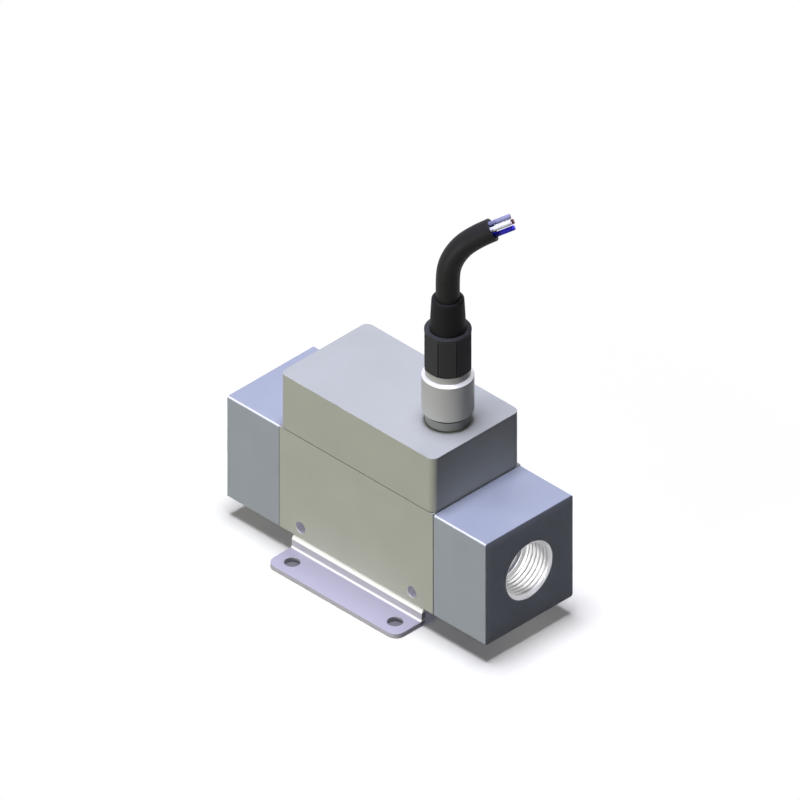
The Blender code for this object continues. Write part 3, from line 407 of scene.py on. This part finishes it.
def make_grip():
    turns = grip_turns()
    rings = profile(turns, (17.0, 4.8), (17.0, 5.5))
    for height, share, shrink in GRIP_OUTSIDE:
        rings.append(upright(turns, height * MM, crowned(share, shrink * MM)))
    # The recess for the boot, then down through the grip to the insert's socket
    rings += profile(
        turns, (29.0, 4.88), (28.95, 4.82), (28.6, 4.8), (28.6, 3.45), (26.8, 3.45), (26.8, 2.0),
        (20.2, 2.0), (20.2, 4.8),
    )
    grip = ring_mesh("plug_grip_moulded", rings, 8, loop=True)
    return on(grip, "plug", "black_plastic", "plug_grip")


def make_boot():
    outline = [(28.7, 3.3), (28.7, 4.6), (29.2, 4.75), (29.25, 4.75)]
    outline += [(33.0, 4.57), (37.0, 4.36), (37.95, 4.3)]
    for i in range(1, LIP_STEPS + 1):
        a = math.pi / 2 * i / LIP_STEPS
        outline.append((LIP_MIDDLE[0] + LIP_R * math.sin(a), LIP_MIDDLE[1] + LIP_R * math.cos(a)))
    outline += [(38.6, 3.34), (38.55, 3.24), (38.4, 3.2), (33.0, 3.2)]
    boot = ring_mesh("strain_relief_boot", profile(around(80), *outline), 40, loop=True)
    return on(boot, "plug", "black_rubber", "strain_relief")


grip, boot = make_grip(), make_boot()


# Port blocks, with the ports' threads

PORT_PITCH, PORT_CREST, PORT_ROOT = 1.337 * MM, 7.475 * MM, 8.28 * MM
PORT_STEP = PORT_PITCH / 10  # between the rings of the thread
FAR = BLOCK_HIGH.x  # the port's face
NEAR = BODY_HIGH.x + 0.2 * MM  # the rim of the face beside the body
PAD = BODY_HIGH.x + 0.02 * MM  # the middle of that face, which reaches the body
SPIGOT_END = BLOCK_LOW.x
CORNER_CUT = 0.5 * MM
EDGE = 0.16 * MM  # inset of a face's edge, which is broken in two steps
CLIP_INSET, CLIP_HALF = 3.9 * MM, 1.1 * MM
RING_GROOVE, RING_GROOVE_WIDTH = 0.8 * MM, 2 * MM


def block_turns():
    """Angles round a block, with one at each corner of its chamfered section."""
    corner = math.atan2(HALF_SIDE, HALF_SIDE - CORNER_CUT)
    exact = []
    for quarter in range(4):
        exact += [quarter * TURN / 4 + TURN / 4 - corner, quarter * TURN / 4 + corner]
    even = [t for t in around(112) if all(abs(t - e) > 0.012 for e in exact)]
    return sorted(even + exact)


def square_radius(t, inset):
    """How far the chamfered square's edge lies from its middle, at an angle."""
    half = HALF_SIDE - inset
    c, s = abs(math.cos(t)), abs(math.sin(t))
    return min(half / max(c, s), (2 * half - CORNER_CUT) / (c + s))


def port_thread(inward):
    """The port's radius at a depth from the face: its chamfered mouth, the thread and a plain end."""

    def radius(t):
        depth = (PORT_ROOT - PORT_CREST) * eased((8.6 * MM - inward) / (1.2 * MM))
        r = PORT_CREST + depth * (1 - wave(inward / PORT_PITCH + t / TURN))
        return max(r, 8.35 * MM - inward)

    return radius


def make_block(name, side):
    turns = block_turns()

    def ring(x, radius):
        made = []
        for t in turns:
            r = radius(t) if callable(radius) else radius
            made.append(Vector((side * x, r * math.cos(t), AXIS_Z + r * math.sin(t))))
        return made

    def square(x, inset=0.0):
        return ring(x, lambda t: square_radius(t, inset))

    # The bore from the spigot to the thread
    rings = [ring(SPIGOT_END, 6.4 * MM)]
    for inward, r in ((11.5, 6.4), (10.0, 6.4), (9.85, 6.5), (9.8, 6.65), (9.8, 7.35)):
        rings.append(ring(FAR - inward * MM, r * MM))
    rings.append(ring(FAR - 9.7 * MM, PORT_CREST))
    rings += [ring(FAR - d, port_thread(d)) for d in reversed(heights(0.06 * MM, 8.7 * MM, PORT_STEP))]
    rings += [ring(FAR - 0.02 * MM, 8.38 * MM), ring(FAR, 8.46 * MM), ring(FAR, 9.6 * MM)]
    # The chamfered square from the port's face to the face beside the body
    rings += [
        square(FAR, 3 * MM), square(FAR, EDGE), square(FAR - 0.04 * MM, 0.06 * MM),
        square(FAR - 0.14 * MM), square(FAR - 6 * MM), square(NEAR + 6 * MM),
        square(NEAR + 0.14 * MM), square(NEAR + 0.04 * MM, 0.06 * MM), square(NEAR, EDGE),
        square(NEAR, 0.9 * MM), square(PAD, 0.95 * MM),
    ]
    # The spigot with the grooves for its clip and its O-ring
    near_clip, far_clip = NEAR - CLIP_INSET - CLIP_HALF, NEAR - CLIP_INSET + CLIP_HALF
    groove = SPIGOT_END + RING_GROOVE
    for x, r in (
        (PAD, 9.5), (PAD, 9.2), (far_clip, 9.2), (far_clip, 7.6), (near_clip, 7.6), (near_clip, 9.2),
        (groove + RING_GROOVE_WIDTH, 9.2), (groove + RING_GROOVE_WIDTH, 7.6), (groove, 7.6), (groove, 9.2),
        (SPIGOT_END + 0.5 * MM, 9.2), (SPIGOT_END, 8.7),
    ):
        rings.append(ring(x, r * MM))
    block = ring_mesh(f"{name}_machined", rings, 30, loop=True)
    return on(block, "sensor", "port_steel", name)


blocks = [make_block("outlet_port_block", 1), make_block("inlet_port_block", -1)]


# CAD nodes: joined corners and smooth round faces, with their own finish kept apart

CAD_EDGE_ANGLE = math.radians(32)
WELD_DISTANCE = 1e-6


def edge_group():
    """Geometry nodes that shade a mesh smooth but for the edges sharper than an angle."""
    group = bpy.data.node_groups.new("sharp_by_angle", "GeometryNodeTree")
    group.interface.new_socket("Geometry", in_out="INPUT", socket_type="NodeSocketGeometry")
    group.interface.new_socket("Angle", in_out="INPUT", socket_type="NodeSocketFloat")
    group.interface.new_socket("Geometry", in_out="OUTPUT", socket_type="NodeSocketGeometry")
    make = group.nodes.new
    start, end = make("NodeGroupInput"), make("NodeGroupOutput")
    smooth, sharp = make("GeometryNodeSetShadeSmooth"), make("GeometryNodeSetShadeSmooth")
    smooth.domain, sharp.domain = "FACE", "EDGE"
    angle, compare = make("GeometryNodeInputMeshEdgeAngle"), make("FunctionNodeCompare")
    compare.data_type, compare.operation = "FLOAT", "LESS_EQUAL"
    link = group.links.new
    link(start.outputs["Geometry"], smooth.inputs["Geometry"])
    link(smooth.outputs["Geometry"], sharp.inputs["Geometry"])
    link(angle.outputs["Unsigned Angle"], compare.inputs[0])
    link(start.outputs["Angle"], compare.inputs[1])
    link(compare.outputs[0], sharp.inputs["Shade Smooth"])
    link(sharp.outputs["Geometry"], end.inputs["Geometry"])
    return group


def soften(obj, group):
    mesh = obj.data
    if "custom_normal" in mesh.attributes:
        mesh.attributes.remove(mesh.attributes["custom_normal"])
    mesh.shade_smooth()
    obj.modifiers.new("weld", "WELD").merge_threshold = WELD_DISTANCE
    edges = obj.modifiers.new("edges", "NODES")
    edges.node_group = group
    angle = next(i.identifier for i in group.interface.items_tree if i.name == "Angle")
    edges[angle] = CAD_EDGE_ANGLE
    obj.modifiers.new("flats", "WEIGHTED_NORMAL").keep_sharp = True


EDGES = edge_group()
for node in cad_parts.values():
    soften(node, EDGES)


# Node trees, for the finishes, the floor and the world

def feed(tree, value, socket):
    """Sets a socket to a number or a colour, or links another node's output to it."""
    if isinstance(value, bpy.types.NodeSocket):
        tree.links.new(value, socket)
    else:
        socket.default_value = value


def math_node(tree, operation, *values):
    """The result of a math node on numbers or other nodes' outputs."""
    made = tree.nodes.new("ShaderNodeMath")
    made.operation = operation
    for value, socket in zip(values, made.inputs):
        feed(tree, value, socket)
    return made.outputs[0]


def product(tree, shares):
    """1 where every share is 1, and 0 where one of them is 0."""
    total = shares[0]
    for share in shares[1:]:
        total = math_node(tree, "MULTIPLY", total, share)
    return total


def seen_by_camera(tree):
    """1 for what the camera sees straight, mirrored or through glass, and 0 for all other light."""
    path = tree.nodes.new("ShaderNodeLightPath").outputs
    mirrored = math_node(tree, "MAXIMUM", path["Is Glossy Ray"], path["Is Transmission Ray"])
    return math_node(tree, "MAXIMUM", path["Is Camera Ray"], mirrored)


# Materials

class Finish:
    """A procedural finish in the object's own coordinates: its colour's drift, a fine grain, edges lighter
    with wear and a painted highlight.
    """

    def __init__(self, name, colour, roughness, metallic=0.0, specular=0.5):
        self.material = bpy.data.materials.new(name)
        self.material.use_nodes = True
        self.material.diffuse_color = (*colour, 1)
        self.tree = self.material.node_tree
        self.shader = self.tree.nodes["Principled BSDF"]
        self.shader.inputs["Specular IOR Level"].default_value = specular
        self.place = self.node("ShaderNodeTexCoord").outputs["Object"]
        start = self.node("ShaderNodeRGB").outputs[0]
        start.default_value = (*colour, 1)
        # Each is a number or an output, and grows by what the methods add to it
        self.colour, self.roughness, self.metallic, self.normal = start, roughness, metallic, None

    def node(self, kind, **settings):
        made = self.tree.nodes.new(kind)
        for key, value in settings.items():
            setattr(made, key, value)
        return made

    def link(self, a, b):
        self.tree.links.new(a, b)

    def noise(self, size, detail=2.0, stretch=(1, 1, 1)):
        """Noise whose features are about this size in metres, drawn out along an axis by the stretch."""
        mapping = self.node("ShaderNodeMapping")
        mapping.inputs["Scale"].default_value = [1 / (size * s) for s in stretch]
        self.link(self.place, mapping.inputs["Vector"])
        made = self.node("ShaderNodeTexNoise")
        made.inputs["Scale"].default_value = 1.0
        made.inputs["Detail"].default_value = detail
        made.inputs["Roughness"].default_value = 0.5
        self.link(mapping.outputs["Vector"], made.inputs["Vector"])
        return made.outputs["Fac"]

    def spread(self, value, low, high, start=0.3, end=0.7):
        """Goes from low to high while the value goes from start to end."""
        made = self.node("ShaderNodeMapRange")
        for key, number in (("From Min", start), ("From Max", end), ("To Min", low), ("To Max", high)):
            made.inputs[key].default_value = number
        self.link(value, made.inputs["Value"])
        return made.outputs["Result"]

    def times(self, value, low, high):
        """The colour grows lighter or darker with a value."""
        made = self.node("ShaderNodeVectorMath", operation="SCALE")
        self.link(self.colour, made.inputs[0])
        self.link(self.spread(value, low, high), made.inputs["Scale"])
        self.colour = made.outputs[0]

    def mixed(self, share, colour):
        made = self.node("ShaderNodeMix", data_type="RGBA")
        self.link(share, made.inputs["Factor"])
        self.link(self.colour, made.inputs[6])
        made.inputs[7].default_value = (*colour, 1)
        self.colour = made.outputs[2]

    def rougher(self, value, amount):
        self.roughness = math_node(self.tree, "ADD", self.spread(value, -amount, amount), self.roughness)

    def bump(self, value, depth):
        made = self.node("ShaderNodeBump")
        made.inputs["Strength"].default_value = 1.0
        made.inputs["Distance"].default_value = depth
        self.link(value, made.inputs["Height"])
        self.normal = made.outputs["Normal"]

    def rounded(self, radius, wear_and_sheen, amount):
        """Edges that catch the light as if they were rounded, and a lighter tone along them, partly wear and
        partly a painted highlight.
        """
        made = self.node("ShaderNodeBevel", samples=6)
        made.inputs["Radius"].default_value = radius
        self.link(self.normal, made.inputs["Normal"])
        if wear_and_sheen is not None:
            dot = self.node("ShaderNodeVectorMath", operation="DOT_PRODUCT")
            self.link(made.outputs["Normal"], dot.inputs[0])
            self.link(self.node("ShaderNodeNewGeometry").outputs["Normal"], dot.inputs[1])
            bent = self.spread(dot.outputs["Value"], amount, 0.0, 0.9, 0.995)
            patchy = self.spread(self.noise(1.2 * MM, 3), 0.45, 1.0)
            self.mixed(product(self.tree, (bent, patchy)), wear_and_sheen)
        self.normal = made.outputs["Normal"]

    def within(self, axis, low, high, middle=None, radius=0.0):
        """1 between two distances from 0 along an axis, and within a radius of a line along it, else 0."""
        parts = self.node("ShaderNodeSeparateXYZ")
        self.link(self.place, parts.inputs[0])
        size = math_node(self.tree, "ABSOLUTE", parts.outputs[axis])
        shares = [math_node(self.tree, "GREATER_THAN", size, low)]
        shares.append(math_node(self.tree, "LESS_THAN", size, high))
        if middle is not None:
            away = self.node("ShaderNodeVectorMath", operation="SUBTRACT")
            flat = self.node("ShaderNodeVectorMath", operation="MULTIPLY")
            length = self.node("ShaderNodeVectorMath", operation="LENGTH")
            away.inputs[1].default_value = middle
            flat.inputs[1].default_value = [float(i != axis) for i in range(3)]
            self.link(self.place, away.inputs[0])
            self.link(away.outputs[0], flat.inputs[0])
            self.link(flat.outputs[0], length.inputs[0])
            shares.append(math_node(self.tree, "LESS_THAN", length.outputs["Value"], radius))
        return product(self.tree, shares)

    def patch(self, share, colour, metallic):
        """Another colour and shine where the share is 1."""
        self.mixed(share, colour)
        made = self.node("ShaderNodeMix", data_type="FLOAT")
        self.link(share, made.inputs[0])
        feed(self.tree, self.metallic, made.inputs[2])
        made.inputs[3].default_value = metallic
        self.metallic = made.outputs[0]

    def paint_chamfer_highlight(self, colour, low, high):
        """A painted highlight: a bright line on the faces that slope between a side and the top, between two
        heights.
        """
        parts = self.node("ShaderNodeSeparateXYZ")
        self.link(self.node("ShaderNodeNewGeometry").outputs["True Normal"], parts.inputs[0])
        slope = math_node(self.tree, "MULTIPLY", parts.outputs["Y"], parts.outputs["Z"])
        sloping = self.spread(math_node(self.tree, "ABSOLUTE", slope), 0.0, 1.0, 0.3, 0.4)
        self.patch(product(self.tree, (sloping, self.within(2, low, high))), colour, 0.4)

    def done(self):
        self.link(self.colour, self.shader.inputs["Base Color"])
        feed(self.tree, self.roughness, self.shader.inputs["Roughness"])
        feed(self.tree, self.metallic, self.shader.inputs["Metallic"])
        self.link(self.normal, self.shader.inputs["Normal"])
        return self.material


def moulded(name, colour, roughness=0.5, specular=0.25, grain=0.28 * MM, wear_and_sheen=None, patches=()):
    """Moulded resin with a fine eroded grain."""
    f = Finish(name, colour, roughness, specular=specular)
    for where, tone, shine in patches:
        f.patch(f.within(*where), tone, shine)
    fine, broad = f.noise(grain), f.noise(14 * MM)
    f.times(broad, 0.975, 1.025)
    f.times(fine, 0.985, 1.015)
    f.rougher(broad, 0.03)
    f.rougher(fine, 0.05)
    f.bump(fine, 0.006 * MM)
    f.rounded(0.22 * MM, wear_and_sheen, 0.5)
    return f.done()


def metal(name, colour, roughness, metallic, specular=0.4, brush=(1, 1, 1), depth=0.003 * MM, wear_and_sheen=None,
          rounding=0.18 * MM, patches=(), drift=0.025, chamfer=None):
    """Metal with a drawn or blasted grain, faint stains and bright edges, partly wear and partly a painted
    highlight.
    """
    f = Finish(name, colour, roughness, metallic, specular)
    # The chamfer argument paints a highlight line on the sloping edge faces
    if chamfer:
        f.paint_chamfer_highlight(*chamfer)
    for where, tone, shine in patches:
        f.patch(f.within(*where), tone, shine)
    grain = f.noise(0.16 * MM, 2.0, brush)
    broad, cloud = f.noise(9 * MM, 3.0), f.noise(1.8 * MM, 3.0)
    f.times(broad, 1 - drift, 1 + drift)
    f.times(grain, 1 - drift, 1 + drift)
    f.rougher(cloud, 0.02)
    f.rougher(grain, 0.05)
    f.bump(grain, depth)
    if rounding:
        f.rounded(rounding, wear_and_sheen, 0.6)
    return f.done()


def rubber(name, colour, roughness, specular, grain=0.22 * MM):
    """Soft moulded rubber or a cable's jacket, with a fine uneven grain."""
    f = Finish(name, colour, roughness, specular=specular)
    fine, broad = f.noise(grain, 3.0), f.noise(6 * MM)
    f.times(broad, 0.9, 1.12)
    f.times(fine, 0.9, 1.1)
    f.rougher(fine, 0.06)
    f.bump(fine, 0.008 * MM)
    return f.done()


def insulation(name, colour):
    """Smooth extruded insulation with a faint drift in its tone."""
    f = Finish(name, colour, 0.38, specular=0.3)
    fine, broad = f.noise(0.6 * MM), f.noise(3 * MM)
    f.times(broad, 0.97, 1.03)
    f.rougher(fine, 0.03)
    f.bump(fine, 0.0005 * MM)
    return f.done()


# Where a finish changes: what within() takes, then a colour and a shine
PORT_LINE = (0, 0, AXIS_Z)
# The bore's near-white colour: machined metal inside, lightened further as a painted highlight
BORE_MACHINED_SHEEN = ((0, -1, 1, PORT_LINE, 8.5 * MM), (0.9, 0.9, 0.9), 0.55)
# A painted shade: the ring at the bore's inner step, made dark
STEP_PAINTED_SHADE = ((0, FAR - 10 * MM, FAR - 9.6 * MM, PORT_LINE, 7.4 * MM), (0.1, 0.1, 0.12), 0.08)
NECK = ((2, -1, COVER_TOP + 3.62 * MM), (0.28, 0.29, 0.295), 0.06)
# A painted shade: the thread relief under the nut, near-black where the nut shades the neck
RELIEF_PAINTED_SHADE = ((2, COVER_TOP + 2.72 * MM, COVER_TOP + 3.62 * MM), (0.04, 0.04, 0.045), 0.0)
# A painted highlight: the nut's chamfer band made near-white, with more shine
BEVEL_HIGHLIGHT = ((2, COVER_TOP + 14.33 * MM, COVER_TOP + 14.97 * MM), (0.98, 0.98, 0.99), 0.4)
# Painted highlights: the bracket's two bends made near-white and more metallic
UPPER_BEND_HIGHLIGHT = ((2, 3.85 * MM, 1), (0.93, 0.93, 0.91), 0.75)
LOWER_BEND_HIGHLIGHT = ((2, 1.43 * MM, 1.88 * MM), (0.93, 0.93, 0.91), 0.75)
# Metal linings in the cross holes, made near-white as painted light on their insides
CROSS_HOLE_SHEEN = [
    ((1, -1, 1, (x, 0, CROSS_HOLE_Z), 1.73 * MM), (0.94, 0.93, 1.0), 0.7)
    for x in (-CROSS_HOLE_X, CROSS_HOLE_X)
]
# The painted highlight, a bright line on the blocks' upper edges: its colour and its two heights
CHAMFER_HIGHLIGHT = ((0.95, 0.96, 1.0), AXIS_Z + HALF_SIDE - 0.36 * MM, AXIS_Z + HALF_SIDE - 0.1 * MM)

PLATED = ((0.56, 0.56, 0.56), 0.32, 0.06, 0.12, (90, 90, 0.35), 0.0004 * MM)

MATERIALS = {
    "body_resin": moulded("body_resin_mat", (0.56, 0.57, 0.51), specular=0.1, wear_and_sheen=(0.66, 0.67, 0.62),
                          patches=CROSS_HOLE_SHEEN),
    "cover_resin": moulded("cover_resin_mat", (0.555, 0.565, 0.505), specular=0.06, wear_and_sheen=(0.68, 0.69, 0.64)),
    "port_steel": metal("port_metal_mat", (0.435, 0.47, 0.53), 0.42, 0.04, 0.08, depth=0.002 * MM,
                        wear_and_sheen=(0.8, 0.82, 0.88), patches=(BORE_MACHINED_SHEEN, STEP_PAINTED_SHADE), chamfer=CHAMFER_HIGHLIGHT),
    "plated_metal": metal("plated_metal_mat", *PLATED, rounding=0, patches=(BEVEL_HIGHLIGHT,), drift=0.012),
    "sheet_steel": metal("sheet_steel_mat", (0.575, 0.55, 0.625), 0.44, 0.12, 0.2, brush=(30, 0.5, 0.5),
                         depth=0.0008 * MM, wear_and_sheen=(0.85, 0.85, 0.88), rounding=0.12 * MM,
                         patches=(UPPER_BEND_HIGHLIGHT, LOWER_BEND_HIGHLIGHT), drift=0.012),
    "spring_steel": metal("spring_steel_mat", (0.36, 0.36, 0.37), 0.35, 0.9, brush=(6, 1, 1)),
    "brass": metal("brass_mat", (0.66, 0.47, 0.2), 0.32, 0.95, brush=(1, 1, 5)),
    "gold_contact": metal("gold_contact_mat", (0.85, 0.6, 0.22), 0.22, 1.0, brush=(1, 1, 6)),
    "black_rubber": rubber("black_rubber_mat", (0.015, 0.015, 0.016), 0.6, 0.08),
    "cable_black": rubber("cable_black_mat", (0.02, 0.02, 0.02), 0.5, 0.1, 0.3 * MM),
    "sensor_plastic": moulded("sensor_plastic_mat", (0.07, 0.07, 0.075)),
    "board_green": moulded("board_green_mat", (0.02, 0.14, 0.055), 0.35, 0.5, 0.6 * MM),
    "black_plastic": moulded("black_plastic_mat", (0.05, 0.05, 0.052), 0.45, 0.06, 0.25 * MM,
                             wear_and_sheen=(0.09, 0.09, 0.1)),
    "core_white": insulation("core_white_mat", (0.86, 0.86, 0.88)),
    "core_grey": insulation("core_grey_mat", (0.3, 0.3, 0.47)),
    "core_brown": insulation("core_brown_mat", (0.085, 0.014, 0.02)),
    "core_blue": insulation("core_blue_mat", (0.045, 0.032, 0.76)),
}
COPPER = metal("copper_strands_mat", (0.72, 0.34, 0.2), 0.3, 1.0, brush=(1, 1, 3), rounding=0)
SHELL = metal("shell_metal_mat", *PLATED, rounding=0, patches=(NECK, RELIEF_PAINTED_SHADE), drift=0.012)

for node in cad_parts.values():
    slot = node.data.materials[0].name.split(".")[0]
    node.data.materials[0] = MATERIALS[slot]
for obj in [jacket, *cores, shell, nut, grip, boot, *blocks]:
    own = COPPER if obj.name.endswith("_strands") else SHELL if obj is shell else MATERIALS[obj["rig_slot"]]
    obj.data.materials.append(own)


# Floor, world and lamps

FLOOR_REACH, FLOOR_DROP = 3, 0.02 * MM
# The lit floor's colour, then a painted shadow: the floor's darker colour under the feet
FLOOR_LIT, FLOOR_PAINTED_SHADOW = (1.06, 1.04, 0.82, 1), (0.2, 0.2, 0.17, 1)
FLOOR_UNSEEN = (0.04, 0.04, 0.04, 1)
FLOOR_GLOW, GLOW_STRENGTH = (0.62, 0.63, 1.0, 1), 0.08
WHITE_FROM, WHITE_AT = 0.07, 0.14  # distances over which the lit floor turns to plain white
WORLD_WHITE, WORLD_DIM, DIM_STRENGTH = (1, 1, 1, 1), (0.95, 0.93, 1.0, 1), 0.035


def painted_shadow_under_feet(tree, place):
    """1 on the floor under the bracket's feet, where its shadow is painted, and 0 elsewhere."""
    sides = tree.nodes.new("ShaderNodeSeparateXYZ")
    tree.links.new(place, sides.inputs[0])
    limits = (
        ("X", "LESS_THAN", FEET.x), ("Y", "LESS_THAN", FEET.y), ("Y", "GREATER_THAN", HALF_SIDE + 2 * MM),
    )
    shares = []
    for axis, kind, reach in limits:
        shares.append(math_node(tree, kind, math_node(tree, "ABSOLUTE", sides.outputs[axis]), reach))
    return product(tree, shares)


def make_floor():
    """A pale floor: white far off, lit near the object for its shadow, with a shadow painted under the feet.
    """
    r = FLOOR_REACH
    mesh = bpy.data.meshes.new("floor")
    mesh.from_pydata([(-r, -r, 0), (r, -r, 0), (r, r, 0), (-r, r, 0)], [], [(0, 1, 2, 3)])
    floor = linked("floor", mesh)
    floor.location.z = -FLOOR_DROP
    mat = bpy.data.materials.new("floor_mat")
    mat.use_nodes = True
    tree = mat.node_tree
    tree.nodes.clear()
    make, link = tree.nodes.new, tree.links.new
    place = make("ShaderNodeTexCoord").outputs["Object"]
    # The lit floor with its shadow, a painted shadow under the feet, and a faint glow
    tone, lit, glow = make("ShaderNodeMix"), make("ShaderNodeBsdfDiffuse"), make("ShaderNodeEmission")
    tone.data_type = "RGBA"
    tone.inputs[6].default_value, tone.inputs[7].default_value = FLOOR_LIT, FLOOR_PAINTED_SHADOW
    link(painted_shadow_under_feet(tree, place), tone.inputs["Factor"])
    link(tone.outputs[2], lit.inputs["Color"])
    glow.inputs["Color"].default_value, glow.inputs["Strength"].default_value = FLOOR_GLOW, GLOW_STRENGTH
    near = make("ShaderNodeAddShader")
    link(lit.outputs[0], near.inputs[0])
    link(glow.outputs[0], near.inputs[1])
    # Plain white further off
    white, length, far = make("ShaderNodeEmission"), make("ShaderNodeVectorMath"), make("ShaderNodeMapRange")
    white.inputs["Strength"].default_value = 1.0
    length.operation, far.interpolation_type = "LENGTH", "SMOOTHSTEP"
    link(place, length.inputs[0])
    far.inputs["From Min"].default_value, far.inputs["From Max"].default_value = WHITE_FROM, WHITE_AT
    link(length.outputs["Value"], far.inputs["Value"])
    seen = make("ShaderNodeMixShader")
    link(far.outputs["Result"], seen.inputs[0])
    link(near.outputs[0], seen.inputs[1])
    link(white.outputs[0], seen.inputs[2])
    # Nearly black for the light that it would bounce at the object
    dull, both = make("ShaderNodeBsdfDiffuse"), make("ShaderNodeMixShader")
    out = make("ShaderNodeOutputMaterial")
    dull.inputs["Color"].default_value = FLOOR_UNSEEN
    link(seen_by_camera(tree), both.inputs[0])
    link(dull.outputs[0], both.inputs[1])
    link(seen.outputs[0], both.inputs[2])
    link(both.outputs[0], out.inputs["Surface"])
    mesh.materials.append(mat)


def make_world():
    """White where the camera sees it, and dim as a light."""
    world = bpy.data.worlds.new("studio")
    bpy.context.scene.world = world
    world.use_nodes = True
    tree = world.node_tree
    tree.nodes.clear()
    make, link = tree.nodes.new, tree.links.new
    dim, white = make("ShaderNodeBackground"), make("ShaderNodeBackground")
    mix, out = make("ShaderNodeMixShader"), make("ShaderNodeOutputWorld")
    white.inputs["Color"].default_value = WORLD_WHITE
    dim.inputs["Color"].default_value, dim.inputs["Strength"].default_value = WORLD_DIM, DIM_STRENGTH
    link(seen_by_camera(tree), mix.inputs[0])
    link(dim.outputs[0], mix.inputs[1])
    link(white.outputs[0], mix.inputs[2])
    link(mix.outputs[0], out.inputs["Surface"])


# The lamps: name, place, height of the point that they face, watts, width and colour
LAMPS = (
    ("overhead", (-0.02, -0.03, 0.95), 0.03, 10.5, 0.38, (0.72, 0.735, 0.98)),
    ("front", (-0.04, -0.98, 0.1), 0.04, 5.6, 0.3, (0.99, 1.0, 0.87)),
    ("back", (-0.55, 0.8, 0.14), 0.04, 3.0, 0.3, (1.0, 1.0, 1.0)),
)
SNOOT_DISTANCE, SNOOT_POWER, SNOOT_SOFTNESS, SNOOT_EDGE = 0.6, 16.5, 0.0006, 0.25
SNOOT_R = 6.1 * MM  # of its spot at the port's mouth


def lamp(name, place, aim, power, size, colour):
    data = bpy.data.lights.new(name, "AREA")
    data.shape = "DISK"
    data.energy, data.size, data.color = power, size, colour
    obj = linked(name, data)
    obj.location = place
    obj.rotation_euler = (Vector(place) - Vector((0, 0, aim))).to_track_quat("Z", "Y").to_euler()


def snoot(name, side):
    """A narrow beam that reaches into a port and no further than its mouth."""
    data = bpy.data.lights.new(name, "SPOT")
    data.energy, data.shadow_soft_size = SNOOT_POWER, SNOOT_SOFTNESS
    data.spot_size, data.spot_blend = 2 * math.atan(SNOOT_R / SNOOT_DISTANCE), SNOOT_EDGE
    away = Vector((side * 0.78, side * -0.47, 0.41))
    obj = linked(name, data)
    obj.location = Vector((side * FAR, 0, AXIS_Z)) + away.normalized() * SNOOT_DISTANCE
    obj.rotation_euler = away.to_track_quat("Z", "Y").to_euler()


make_floor()
make_world()
for row in LAMPS:
    lamp(*row)
snoot("outlet_snoot", 1)
snoot("inlet_snoot", -1)

scene = bpy.context.scene
scene.view_settings.view_transform = "Standard"

bpy.context.view_layer.update()
